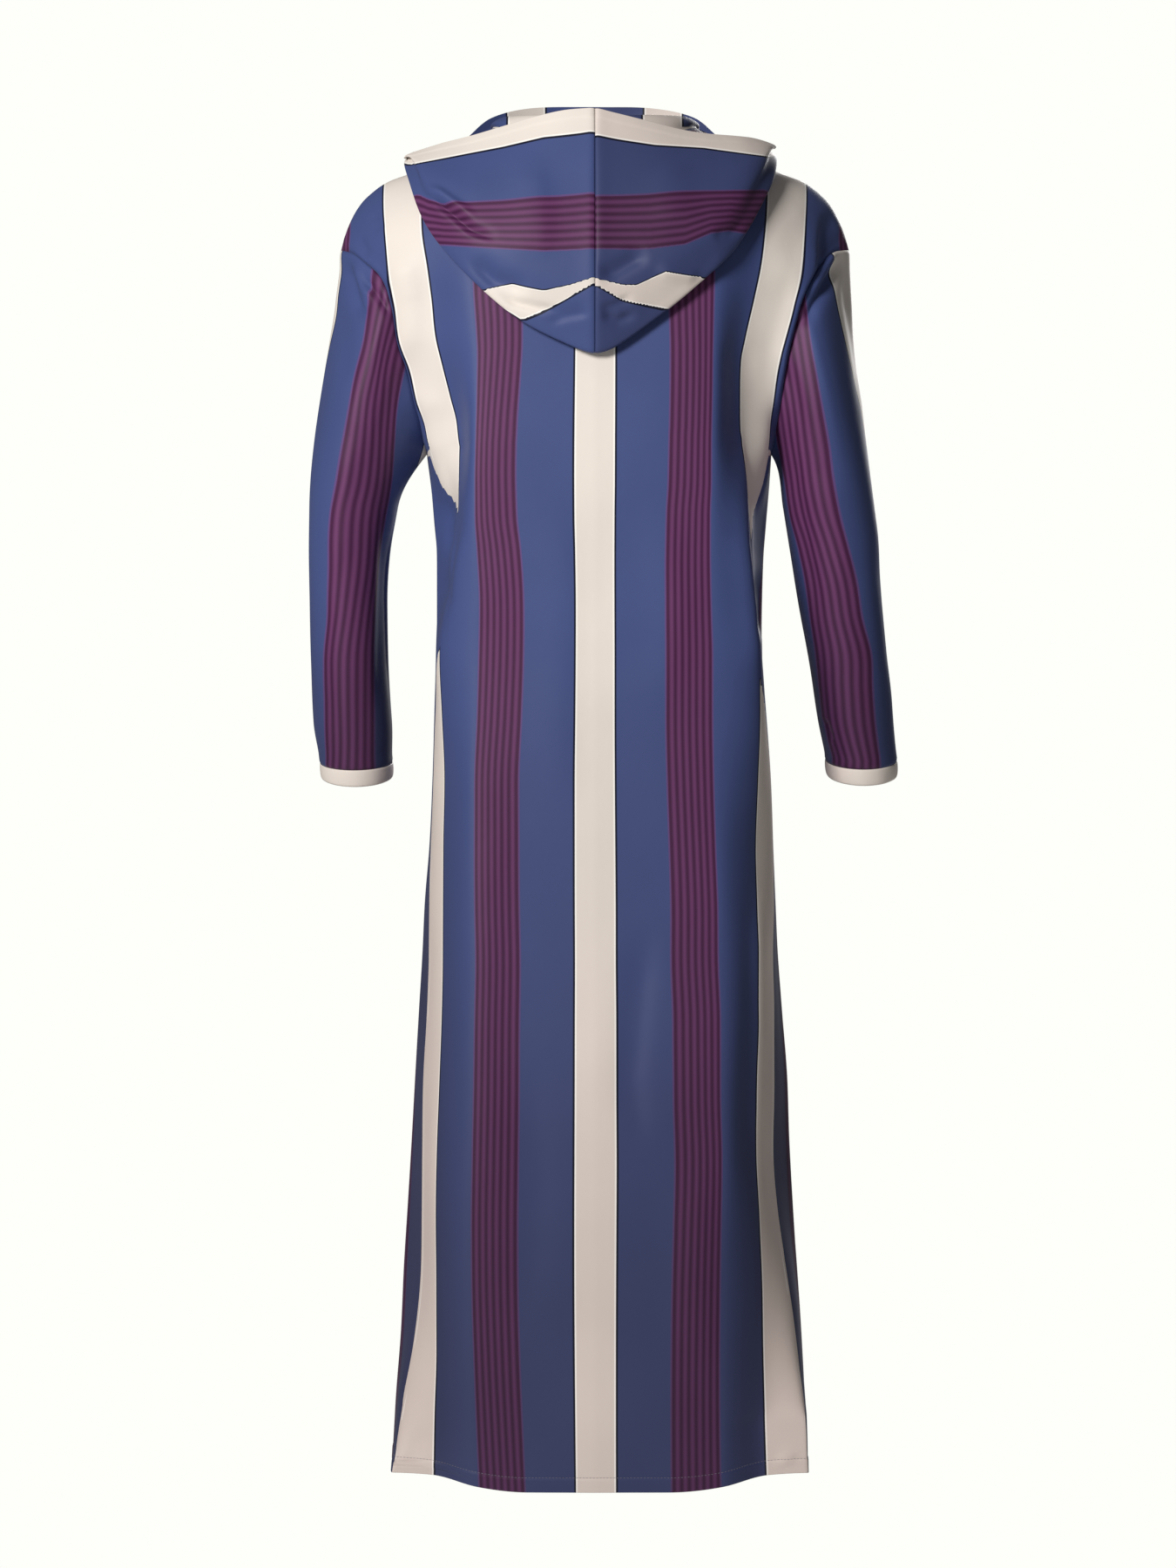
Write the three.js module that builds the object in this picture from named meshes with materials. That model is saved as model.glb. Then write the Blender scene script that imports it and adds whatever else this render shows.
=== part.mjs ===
// A hooded kaftan, worn: a straight striped robe with long sleeves, narrow cuffs and a
// two-panel hood thrown back. Millimetres, +Z up, front towards -Y, back and hood towards +Y,
// +X to the wearer's left. The origin is between the shoulders, where the wearer holds it up.
import * as THREE from 'three';

// ---------------------------------------------------------------- driving sizes
const WALL = 1.6; // thickness of the cloth
const SEAM_GAP = 0.3; // clear space between two pieces along a seam
const UNDERARM_Z = -283;
const HEM_Z = -1335; // lowest, at the centre; the hem rises towards the sides
const HEM_RISE = { from: 70, to: 210, height: 15 };
const NECK = { cut: 89, back: 74, front: 100 }; // half width in the cloth, depth back and front
const NECK_SQUARE = 2.2; // power of the neckline's oval; 2 is an ellipse
const SHOULDER_ROUND = { back: 115, front: 150 }; // drop over which the shoulder turns vertical
const FRONT_SCOOP = 7; // how much further in the front armhole is cut, at its middle

// Distances across the cut panel, from its centre line, at which the sections are given.
const CUT = { purple: 122.5, creamIn: 175, creamOut: 215 };

// A table with named columns becomes a monotone cubic curve for each column.
function table(header, rows) {
  const names = header.trim().split(/\s+/);
  const keys = rows.map((row) => row[0]);
  return Object.fromEntries(names.map((name, i) => [name, curve(keys, rows.map((row) => row[i]))]));
}

function curve(xs, ys) {
  const last = xs.length - 1;
  const h = xs.slice(1).map((x, i) => x - xs[i]);
  const d = h.map((step, i) => (ys[i + 1] - ys[i]) / step);
  const m = ys.map((_, i) => {
    if (i === 0) return d[0];
    if (i === last) return d[last - 1];
    if (d[i - 1] * d[i] <= 0) return 0;
    const mean = (d[i - 1] * h[i] + d[i] * h[i - 1]) / (h[i] + h[i - 1]);
    return Math.sign(mean) * Math.min(Math.abs(mean), 3 * Math.abs(d[i - 1]), 3 * Math.abs(d[i]));
  });
  return (value) => {
    const x = Math.min(Math.max(value, xs[0]), xs[last]);
    let i = 0;
    while (i < last - 1 && x > xs[i + 1]) i += 1;
    const t = (x - xs[i]) / h[i];
    return (2 * t ** 3 - 3 * t ** 2 + 1) * ys[i] + (t ** 3 - 2 * t ** 2 + t) * h[i] * m[i]
      + (3 * t ** 2 - 2 * t ** 3) * ys[i + 1] + (t ** 3 - t ** 2) * h[i] * m[i + 1];
  };
}

// Height of the shoulder line at each distance from the centre.
const SHOULDER = table('x z', [
  [0, 62], [50, 55], [88, 43], [120, 31], [160, 16], [195, 3], [212, -3], [221, -8],
  [229, -14], [242, -27], [250, -40], [256, -54], [262, -75],
]);

// Level v runs 0 at the shoulder, 1 at the underarm and 2 at the hem. Each row gives where the
// cut distances CUT lie across the body (x) and how far out from the middle plane (y).
const ABOVE = 'v xP xCi xCo xE yCi yCo yE cut';
const YOKE = {
  left: table(ABOVE, [
    [0.00, 121.0, 176, 217.0, 262.0, 96, 66, 20, 285],
    [0.12, 121.5, 176, 215.5, 254.5, 97, 70, 30, 272],
    [0.26, 122.0, 175, 212.0, 238.0, 98, 76, 50, 246],
    [0.40, 122.5, 169, 207.5, 214.5, 98, 80, 68, 222],
    [0.50, 122.0, 165, 202.0, 206.5, 96, 79, 74, 219],
    [0.65, 119.0, 160, 195.5, 199.0, 93, 76, 73, 219],
    [0.72, 118.0, 155, 188.0, 192.0, 90, 70, 67, 219],
    [0.84, 118.5, 146, 180.0, 184.0, 84, 63, 58, 220],
    [0.92, 119.0, 140, 172.5, 177.5, 80, 57, 43, 230],
    [0.95, 119.3, 139, 171.0, 176.0, 79, 55, 35, 238],
    [0.98, 119.5, 138, 169.5, 174.2, 78, 53, 22, 250],
    [1.00, 119.7, 137, 168.0, 172.8, 77, 51, 0, 266],
  ]),
  right: table(ABOVE, [
    [0.00, 121.0, 176, 217.0, 262.0, 96, 66, 20, 285],
    [0.12, 121.0, 175, 215.0, 254.0, 97, 70, 30, 272],
    [0.26, 120.5, 172, 211.0, 236.0, 98, 76, 50, 246],
    [0.40, 120.0, 167, 205.5, 217.0, 98, 80, 68, 229],
    [0.50, 119.5, 161, 199.0, 208.0, 97, 80, 74, 228],
    [0.65, 118.5, 151, 188.5, 198.0, 95, 77, 73, 227],
    [0.72, 118.0, 147, 184.0, 194.0, 93, 73, 67, 228],
    [0.84, 117.5, 146, 180.0, 189.0, 89, 66, 58, 229],
    [0.92, 117.0, 146, 177.5, 185.0, 86, 61, 43, 236],
    [0.95, 116.8, 146, 177.0, 183.6, 85, 60, 35, 243],
    [0.98, 116.6, 147, 176.5, 182.2, 84, 58, 22, 254],
    [1.00, 116.5, 147, 176.0, 181.0, 83, 56, 0, 268],
  ]),
};

const BELOW = 'z xP xCi xCo xE';
const SKIRT = {
  left: table(BELOW, [
    [-1336, 116.5, 163.0, 204.0, 208.0], [-1276, 119.0, 162.0, 195.0, 205.0],
    [-1206, 121.5, 160.0, 183.0, 200.0], [-1136, 123.5, 160.0, 176.0, 197.0],
    [-1071, 124.0, 160.5, 175.0, 193.0], [-1006, 123.0, 159.5, 174.5, 189.0],
    [-936, 121.5, 157.0, 173.5, 185.0], [-866, 120.5, 154.5, 170.0, 181.0],
    [-806, 119.5, 153.5, 168.0, 177.3], [-751, 120.5, 153.5, 168.0, 174.6],
    [-696, 121.0, 153.5, 167.0, 170.0], [-626, 121.0, 152.5, 165.0, 166.8],
    [-556, 118.5, 155.0, 163.0, 164.8], [-501, 117.0, 157.0, 161.5, 163.2],
    [-446, 116.0, 154.5, 157.0, 162.8], [-391, 118.5, 151.0, 153.5, 162.8],
    [-356, 120.5, 143.0, 147.0, 165.6], [-321, 120.5, 138.5, 157.0, 168.5],
    [-283, 119.7, 137.0, 168.0, 172.8],
  ]),
  right: table(BELOW, [
    [-1336, 126.0, 173.0, 214.0, 216.0], [-1276, 125.0, 171.0, 211.0, 215.0],
    [-1206, 124.5, 169.0, 202.0, 212.0], [-1136, 125.0, 168.0, 193.0, 208.0],
    [-1071, 126.0, 165.5, 184.0, 204.0], [-1006, 127.0, 163.5, 180.0, 200.5],
    [-936, 125.5, 164.0, 181.0, 198.0], [-866, 125.5, 166.0, 181.0, 192.5],
    [-806, 123.5, 166.0, 180.0, 188.0], [-751, 123.0, 164.0, 181.5, 185.4],
    [-696, 121.0, 162.0, 181.0, 183.0], [-626, 119.0, 164.0, 178.5, 180.0],
    [-556, 118.0, 166.0, 173.5, 175.0], [-501, 118.0, 166.0, 169.5, 171.2],
    [-446, 116.5, 161.5, 164.5, 171.8], [-391, 115.5, 158.0, 161.0, 173.6],
    [-356, 115.5, 154.5, 163.0, 176.4], [-321, 116.5, 150.5, 169.5, 179.0],
    [-283, 116.5, 147.0, 176.0, 181.0],
  ]),
};

// Depth of the body at its centre line, behind and in front of the middle plane.
const DEPTH = table('v back front', [
  [0, 116, 118], [0.26, 120, 124], [0.5, 127, 130], [0.84, 130, 134], [1, 130, 134],
  [1.12, 125, 130], [1.22, 120, 127], [1.35, 122, 127], [1.5, 128, 130], [1.7, 134, 134],
  [1.85, 131, 131], [2, 120, 122],
]);
const FLAT_DROP = 4; // how little the middle of the panel falls back before its first section

// ---------------------------------------------------------------- body
const otherSide = { left: 'right', right: 'left' };
const keptWidth = (cut, across) => Math.sqrt(Math.max(cut ** 2 - across ** 2, 0));
const shoulderAt = (x) => SHOULDER.z(Math.abs(x));
const roundOver = (drop, reach) => Math.sqrt(1 - Math.max(1 - drop / reach, 0) ** 2);

// The section at level v: x and y at cut distances 0, purple, creamIn, creamOut and the edge.
// Below the underarm a stripe keeps its cut width, so what it loses across it gains in depth.
function section(side, face, v) {
  const donor = face === 'back' ? side : otherSide[side];
  const depth = DEPTH[face](v);
  if (v <= 1) {
    const t = YOKE[donor];
    const own = YOKE[side];
    const scoop = face === 'front' ? FRONT_SCOOP * Math.sin(Math.PI * v) : 0;
    const fit = own.xE(v) / t.xE(v);
    const deep = depth / DEPTH.back(v);
    return {
      x: [0, t.xP(v) * fit, t.xCi(v) * fit, t.xCo(v) * fit - scoop, own.xE(v) - scoop],
      y: [depth, depth - FLAT_DROP, t.yCi(v) * deep, t.yCo(v) * deep, t.yE(v)],
      cut: t.cut(v),
    };
  }
  const z = UNDERARM_Z + (v - 1) * (HEM_Z - UNDERARM_Z);
  const t = SKIRT[donor];
  const fit = SKIRT[side].xE(z) / t.xE(z);
  const x = [0, t.xP(z) * fit, t.xCi(z) * fit, t.xCo(z) * fit, t.xE(z) * fit];
  const y1 = depth - FLAT_DROP;
  const y2 = y1 - keptWidth(CUT.creamIn - CUT.purple, x[2] - x[1]);
  const y3 = y2 - keptWidth(CUT.creamOut - CUT.creamIn, x[3] - x[2]);
  return { x, y: [depth, y1, y2, y3, 0], cut: CUT.creamOut + Math.hypot(y3, x[4] - x[3]) };
}

// Point of the body at level v and share s of the half panel (0 centre, 1 its edge).
const INNER_SHARE = 0.68; // share of the half panel that keeps straight cut lines
function bodyPoint(side, face, s, v) {
  const here = section(side, face, v);
  const cut = s <= INNER_SHARE
    ? (CUT.creamIn * s) / INNER_SHARE
    : CUT.creamIn + ((here.cut - CUT.creamIn) * (s - INNER_SHARE)) / (1 - INNER_SHARE);
  const stations = [0, CUT.purple, CUT.creamIn, CUT.creamOut, here.cut];
  const x = curve(stations, here.x)(cut);
  const full = curve(stations, here.y)(cut);
  const sign = { x: side === 'left' ? 1 : -1, y: face === 'back' ? 1 : -1 };
  if (v > 1) {
    const t = (cut - HEM_RISE.from) / (HEM_RISE.to - HEM_RISE.from);
    const rise = HEM_RISE.height * THREE.MathUtils.smoothstep(t, 0, 1) * (v - 1);
    const z = UNDERARM_Z + (v - 1) * (HEM_Z - UNDERARM_Z) + rise;
    return new THREE.Vector3(sign.x * x, sign.y * full, z);
  }
  const reach = SHOULDER_ROUND[face];
  const top = neckDrop(face, cut) * (1 - v) ** 2;
  const drop = top + (shoulderAt(x) - UNDERARM_Z) * v;
  const z = shoulderAt(x) * (1 - v) + UNDERARM_Z * v - top;
  return new THREE.Vector3(sign.x * x, sign.y * full * roundOver(drop, reach), z);
}

// Share of the half panel at part t of the neckline, from the centre to the shoulder.
function neckShare(t) {
  return (Math.sin((t * Math.PI) / 2) * NECK.cut * INNER_SHARE) / CUT.creamIn;
}

// How far the neckline lies below the shoulder line at a cut distance from the centre.
function neckDrop(face, cut) {
  if (cut >= NECK.cut) return 0;
  const out = NECK[face] * (1 - (cut / NECK.cut) ** NECK_SQUARE) ** (1 / NECK_SQUARE);
  const full = DEPTH[face](0) - FLAT_DROP * (cut / CUT.purple) ** 2;
  const reach = SHOULDER_ROUND[face];
  return reach * (1 - Math.sqrt(1 - (out / full) ** 2));
}

// ---------------------------------------------------------------- hood
// c runs 0 at the centre back, 1 at the side of the neck and 2 at the centre front. The rim is
// the face opening; the fold is the edge where the hood turns back up over itself.
const RIM = {
  left: table('c x y z', [
    [0, 0, 112, 53], [1 / 6, 28, 110, 52], [2 / 6, 60, 104, 46], [3 / 6, 92, 95, 38],
    [4 / 6, 126, 83, 30], [5 / 6, 160, 66, 24], [1, 196, 34, 16.5], [7 / 6, 184, 2, 26.5],
    [8 / 6, 162, -28, 37.5], [9 / 6, 138, -54, 48.5], [10 / 6, 108, -84, 78], [11 / 6, 60, -105, 92],
    [2, 0, -113, 94],
  ]),
  right: table('c x y z', [
    [0, 0, 112, 53], [1 / 6, 28, 110, 47], [2 / 6, 58, 104, 40.5], [3 / 6, 90, 95, 34],
    [4 / 6, 124, 83, 31.5], [5 / 6, 156, 66, 31.5], [1, 185, 36, 27], [7 / 6, 176, 2, 33],
    [8 / 6, 156, -28, 44], [9 / 6, 132, -54, 51], [10 / 6, 104, -84, 78], [11 / 6, 58, -105, 91.5],
    [2, 0, -113, 94],
  ]),
};
const FOLD = {
  left: table('c x z', [
    [0, 0, -194], [1 / 6, 22, -188], [2 / 6, 68, -166], [3 / 6, 104, -139], [4 / 6, 143, -100],
    [5 / 6, 176, -56], [0.92, 188, -25], [1, 195.5, 0], [7 / 6, 183, 12], [2, 0, 86],
  ]),
  right: table('c x z', [
    [0, 0, -194], [1 / 6, 22, -187], [2 / 6, 62, -159], [3 / 6, 98, -130], [4 / 6, 138, -92],
    [5 / 6, 168, -47], [0.92, 181, -21], [1, 186, 3], [7 / 6, 175, 16], [2, 0, 86],
  ]),
};
const HOOD_BULGE = table('c y', [[0, 24], [0.35, 24], [0.7, 16], [0.9, 9], [1, 5], [2, 0]]);
const TURNED = { from: 1, to: 1.34 }; // the hood lies folded before this c, upright after it
const INNER_LIFT = table('c mm', [[0, 3.8], [0.35, 4.5], [0.6, 7], [1, 9], [2, 9]]);
const TURN = { edge: 5.5, outer: 11, back: 9 }; // the fold's size, beyond its inner layer
const CLEAR = 4.5; // least height of the hood over the shoulders
const SHOULDER_TOP = { from: 79, share: 0.85, level: 0.1 }; // where the hood lies over them

// The folded hood's rows: up from the neck seam, each so far outwards and up; down the inner
// layer, at parts of the way to the fold; and up the outer layer, at parts of the way to the rim.
const STAND = [[2, 11], [9, 17], [20, 11]];
const INNER = [{ part: 0.18, raised: 4 }, { part: 0.44, raised: 0 }, { part: 0.7, raised: 0 }];
const OUTER = [0.22, 0.48, 0.74, 0.93];
const BULGE_POWER = 0.8; // under 1, the outer layer bulges most below its middle

// The upright hood's rows, as parts of the way from the neck seam to the rim, and its bow.
const UPRIGHT_BOW = 9;
const UPRIGHT = [0, 0.08, 0.16, 0.24, 0.33, 0.42, 0.5, 0.58, 0.66, 0.73, 0.8, 0.86, 0.92, 0.96, 1];
const HOOD_STEPS = UPRIGHT.length - 1;

// A point of the back, lifted off it: x across, angle over the shoulder, lift away from it.
function overBack(side, x, angle, lift) {
  const reach = SHOULDER_ROUND.back;
  const round = Math.min(angle, Math.PI / 2);
  const drop = reach * (1 - Math.cos(round)) + reach * (angle - round);
  const v = THREE.MathUtils.clamp(drop / (shoulderAt(x) - UNDERARM_Z), 0, 1);
  const here = section(side, 'back', v);
  const full = curve(here.x, here.y)(Math.abs(x));
  return new THREE.Vector3(x, (full + lift) * Math.sin(round),
    shoulderAt(x) - drop + lift * Math.cos(round));
}

function angleAt(x, z) {
  const drop = Math.max(shoulderAt(x) - z, 0) / SHOULDER_ROUND.back;
  return drop < 1 ? Math.acos(1 - drop) : Math.PI / 2 + drop - 1;
}

// Lifts a point that lies over the shoulders clear of them.
function clearShoulder(side, point) {
  const x = Math.abs(point.x);
  const face = point.y > 0 ? 'back' : 'front';
  const here = section(side, face, SHOULDER_TOP.level);
  const share = Math.abs(point.y) / curve(here.x, here.y)(x);
  if (x > SHOULDER_TOP.from && share < SHOULDER_TOP.share) {
    const top = shoulderAt(x) - SHOULDER_ROUND[face] * (1 - Math.sqrt(1 - share ** 2));
    point.z = Math.max(point.z, top + CLEAR);
  }
  return point;
}

function hoodControls(side, c) {
  const sx = side === 'left' ? 1 : -1;
  const face = c <= 1 ? 'back' : 'front';
  const share = neckShare(c <= 1 ? c : 2 - c);
  const neck = bodyPoint(side, face, share, 0);
  const rim = new THREE.Vector3(sx * RIM[side].x(c), RIM[side].y(c), RIM[side].z(c));
  const out = new THREE.Vector3(neck.x / NECK.cut ** 2, neck.y / NECK[face] ** 2, 0).normalize();
  const fold = { x: sx * FOLD[side].x(c), angle: angleAt(FOLD[side].x(c), FOLD[side].z(c)) };
  const start = { x: neck.x, angle: angleAt(neck.x, neck.z) };
  const along = (t, lift) => overBack(side, THREE.MathUtils.lerp(start.x, fold.x, t),
    THREE.MathUtils.lerp(start.angle, fold.angle, t), lift);
  const reach = SHOULDER_ROUND.back;
  const length = Math.hypot(fold.x - start.x, (fold.angle - start.angle) * reach);
  const before = 1 - TURN.back / Math.max(length, 3 * TURN.back);
  const lift = INNER_LIFT.mm(c);
  const step = (outwards, up) => neck.clone().addScaledVector(out, outwards)
    .add(new THREE.Vector3(0, 0, up));
  const turn = along(before, lift + TURN.outer);
  const outer = (f) => turn.clone().lerp(rim, f)
    .add(new THREE.Vector3(0, HOOD_BULGE.y(c) * Math.sin(Math.PI * f ** BULGE_POWER), 0));
  const folded = [neck, ...STAND.map(([outwards, up]) => step(outwards, up)),
    ...INNER.map(({ part, raised }) => along(part, lift + raised)), along(before, lift),
    along(1, lift + TURN.edge), turn, ...OUTER.map(outer), rim];
  const lean = out.clone().add(new THREE.Vector3(0, 0, 1)).multiplyScalar(UPRIGHT_BOW);
  const turned = 1 - THREE.MathUtils.smoothstep(c, TURNED.from, TURNED.to);
  return UPRIGHT.map((f, i) => neck.clone().lerp(rim, f)
    .addScaledVector(lean, Math.sin(Math.PI * f)).lerp(folded[i], turned))
    .map((point, i) => (i > 1 && c > 1 ? clearShoulder(side, point) : point));
}

// Catmull-Rom through the controls at t from 0 (neck seam) to HOOD_STEPS (rim).
function hoodPoint(controls, t) {
  const i = Math.min(Math.floor(t), HOOD_STEPS - 1);
  const f = t - i;
  const p = [i - 1, i, i + 1, i + 2].map((k) => controls[Math.min(Math.max(k, 0), HOOD_STEPS)]);
  const weights = [-0.5 * f + f ** 2 - 0.5 * f ** 3, 1 - 2.5 * f ** 2 + 1.5 * f ** 3,
    0.5 * f + 2 * f ** 2 - 1.5 * f ** 3, -0.5 * f ** 2 + 0.5 * f ** 3];
  const point = new THREE.Vector3();
  p.forEach((q, k) => point.addScaledVector(q, weights[k]));
  return point;
}

// ---------------------------------------------------------------- sleeves
// Rings down the arm: centre x and y, half width and half depth; lean is how much the back of
// the ring hangs lower for each millimetre of depth.
const SLEEVE = {
  left: table('z x y wide deep lean', [
    [-616, 247.5, -32, 36.3, 39, 0.30], [-602.5, 248.2, -29, 36.8, 41, 0.21],
    [-560, 251.5, -21, 40.3, 44, 0.20], [-500, 254, -11, 39.8, 46, 0.16],
    [-440, 254.6, -2, 39.8, 49, 0.08], [-385, 253.0, 5, 41.6, 54, 0.0],
    [-340, 248.6, 8, 45, 60, -0.04],
  ]),
  right: table('z x y wide deep lean', [
    [-614, 278, -34, 36.0, 39, 0.32], [-600, 277, -31, 36.4, 41, 0.25],
    [-560, 271, -22, 38.7, 44, 0.20], [-500, 263.5, -11, 41, 46, 0.16],
    [-440, 254.5, -2, 43.6, 49, 0.08], [-385, 247.5, 5, 45.8, 54, 0.0],
    [-340, 240.9, 8, 46.6, 60, -0.04],
  ]),
};
const SLEEVE_END = { left: -602.5, right: -600 };
const CUFF_END = { left: -616, right: -614 };
const SLEEVE_JOIN = { z: -340, share: 0.36 }; // where the armhole has become a ring
const LEAVE = { out: 0.36, less: 0.3, deep: 0.32, down: 0.85 }; // way the cloth leaves the armhole
const TANGENT_STEP = 10;

function ringPoint(side, z, angle) {
  const t = SLEEVE[side];
  const y = t.deep(z) * Math.sin(angle);
  const x = t.x(z) + t.wide(z) * Math.cos(angle);
  return new THREE.Vector3(side === 'left' ? x : -x, t.y(z) + y, z - t.lean(z) * y);
}

// Around the armhole: from the shoulder tip down the back to the underarm and up the front.
function armhole(side, levels) {
  const back = levels.map((v) => bodyPoint(side, 'back', 1, v));
  const front = levels.map((v) => bodyPoint(side, 'front', 1, v));
  const share = (line) => {
    const run = [0];
    line.slice(1).forEach((p, i) => run.push(run[i] + p.distanceTo(line[i])));
    return run.map((length) => (Math.PI * length) / run.at(-1));
  };
  const half = (line) => {
    const turns = share(line);
    return line.map((point, i) => ({ point, angle: turns[i] }));
  };
  const down = half(back);
  const up = half(front).map(({ point, angle }) => ({ point, angle: 2 * Math.PI - angle }));
  return [...down, ...up.slice(1, -1).reverse()];
}

function sleevePoint(side, start, t) {
  const join = SLEEVE_JOIN.share;
  if (t > join) {
    const z = THREE.MathUtils.lerp(SLEEVE_JOIN.z, SLEEVE_END[side], (t - join) / (1 - join));
    return ringPoint(side, z, start.angle);
  }
  const sx = side === 'left' ? 1 : -1;
  const ring = ringPoint(side, SLEEVE_JOIN.z, start.angle);
  const next = ringPoint(side, SLEEVE_JOIN.z - TANGENT_STEP, start.angle);
  const below = next.sub(ring).normalize();
  const span = ring.distanceTo(start.point);
  const spread = LEAVE.out - LEAVE.less * Math.cos(start.angle);
  const sunk = LEAVE.deep * Math.sin(start.angle);
  const leave = new THREE.Vector3(sx * spread, sunk, -LEAVE.down).normalize();
  const f = t / join;
  const weights = [2 * f ** 3 - 3 * f ** 2 + 1, f ** 3 - 2 * f ** 2 + f, 3 * f ** 2 - 2 * f ** 3,
    f ** 3 - f ** 2];
  return start.point.clone().multiplyScalar(weights[0]).addScaledVector(leave, weights[1] * span)
    .addScaledVector(ring, weights[2]).addScaledVector(below, weights[3] * span);
}

// ---------------------------------------------------------------- from grids to cloth walls
// A piece is a grid of points whose column step crossed with its row step points outwards.
const YOKE_LEVELS = [0, 0.03, 0.08, 0.15, 0.25, 0.37, 0.5, 0.63, 0.76, 0.87, 0.95, 0.985, 1];
const SKIRT_LEVELS = [1.035, 1.08, 1.14, 1.21, 1.3, 1.4, 1.5, 1.61, 1.72, 1.83, 1.92, 2];
const NECK_PARTS = [0, 1 / 6, 2 / 6, 3 / 6, 4 / 6, 5 / 6, 11 / 12, 1];
const PANEL_SHARES = [0, 0.062, 0.124, 0.186, 0.248, 0.31, 0.365, 0.42, 0.475, 0.53, 0.58, 0.63,
  0.68, 0.74, 0.79, 0.84, 0.89, 0.945, 1];
const NECK_FADE = 0.45; // level at which the columns have spread out evenly below the neck
const HOOD_COLUMNS = [...NECK_PARTS, ...NECK_PARTS.slice(0, -1).reverse().map((t) => 2 - t)];
const HOOD_ROWS = [0, 1, 2, 3, 4, 5, 6, 7, 7.5, 8, 8.5, 9, 10, 11, 12, 13, 14];
const SLEEVE_ROWS = [0, 0.05, 0.12, 0.21, 0.3, 0.38, 0.5, 0.62, 0.75, 0.88, 1];

const grid = (rows, columns, point) => rows.map((row) => columns.map((col) => point(col, row)));

// The first columns start at the hood's columns on the neckline.
function columnShare(k, v) {
  const even = PANEL_SHARES[k];
  if (k >= NECK_PARTS.length) return even;
  const spread = THREE.MathUtils.smoothstep(v, 0, NECK_FADE);
  return THREE.MathUtils.lerp(neckShare(NECK_PARTS[k]), even, spread);
}

function panelGrid(face) {
  const left = PANEL_SHARES.map((_, k) => ['left', k]);
  const right = left.slice(1).reverse().map(([, k]) => ['right', k]);
  const columns = face === 'back' ? [...right, ...left] : [...right, ...left].reverse();
  return grid([...YOKE_LEVELS, ...SKIRT_LEVELS], columns,
    ([side, k], v) => bodyPoint(side, face, columnShare(k, v), v));
}

function hoodGrid(side) {
  const columns = HOOD_COLUMNS.map((c) => hoodControls(side, c));
  if (side === 'left') columns.reverse();
  return grid(HOOD_ROWS, columns, hoodPoint);
}

function sleeveGrid(side) {
  const starts = armhole(side, YOKE_LEVELS);
  if (side === 'left') starts.reverse();
  return grid(SLEEVE_ROWS, starts, (start, t) => sleevePoint(side, start, t));
}

function cuffGrid(side) {
  const starts = armhole(side, YOKE_LEVELS);
  if (side === 'left') starts.reverse();
  const levels = [0, 0.5, 1].map((t) => THREE.MathUtils.lerp(SLEEVE_END[side], CUFF_END[side], t));
  return grid(levels, starts, (start, z) => ringPoint(side, z, start.angle));
}

// Neighbour differences; a tube's columns wrap round.
function steps(points, wrap) {
  const rows = points.length;
  const cols = points[0].length;
  const at = (i, j) => points[Math.min(Math.max(i, 0), rows - 1)][
    wrap ? (j + cols) % cols : Math.min(Math.max(j, 0), cols - 1)];
  const across = (i, j) => at(i, j + 1).clone().sub(at(i, j - 1));
  const down = (i, j) => at(i + 1, j).clone().sub(at(i - 1, j));
  return { rows, cols, at, across, down };
}

function normalsOf(piece) {
  const { rows, cols, across, down } = steps(piece.points, piece.wrap);
  return Array.from({ length: rows }, (_, i) => Array.from({ length: cols },
    (__, j) => across(i, j).cross(down(i, j)).normalize()));
}

// Corner angle of a piece at one of its grid points.
function cornerAngle(piece, i, j) {
  const { rows, cols, at } = steps(piece.points, piece.wrap);
  const here = at(i, j);
  const inside = (row, col) => row >= 0 && row < rows && (piece.wrap || (col >= 0 && col < cols));
  return [[1, 1], [1, -1], [-1, 1], [-1, -1]].filter(([di, dj]) => inside(i + di, j + dj))
    .reduce((sum, [di, dj]) => sum
      + at(i + di, j).clone().sub(here).angleTo(at(i, j + dj).clone().sub(here)), 0);
}

// Along a seam the pieces take the mean of their normals, each weighed by its corner angle, so
// that their edges face squarely.
const SAME_PLACE = 0.02;
const seamKey = (p) => p.toArray().map((value) => Math.round(value / SAME_PLACE)).join(' ');
function shareSeamNormals(pieces) {
  const sums = new Map();
  const eachEdge = (piece, visit) => piece.points.forEach((row, i) => row.forEach((p, j) => {
    const side = !piece.wrap && (j === 0 || j === row.length - 1);
    if (i === 0 || i === piece.points.length - 1 || side) visit(seamKey(p), i, j);
  }));
  pieces.forEach((piece) => eachEdge(piece, (key, i, j) => {
    if (!sums.has(key)) sums.set(key, new THREE.Vector3());
    sums.get(key).addScaledVector(piece.normals[i][j], cornerAngle(piece, i, j));
  }));
  pieces.forEach((piece) => eachEdge(piece, (key, i, j) => {
    piece.normals[i][j].copy(sums.get(key)).normalize();
  }));
}

// The sewn edges of a piece: lines of grid places, each with the step that leads inwards.
function sewnEdges({ points, sewn }) {
  const lastRow = points.length - 1;
  const lastCol = points[0].length - 1;
  const row = (i) => points[0].map((_, j) => [i, j]);
  const column = (j) => points.map((_, i) => [i, j]);
  const edges = [];
  if (sewn.top) edges.push({ line: row(0), inwards: [1, 0] });
  if (sewn.bottom) edges.push({ line: row(lastRow), inwards: [-1, 0] });
  if (sewn.sides) {
    edges.push({ line: column(0), inwards: [0, 1] });
    edges.push({ line: column(lastCol), inwards: [0, -1] });
  }
  return edges;
}

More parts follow.
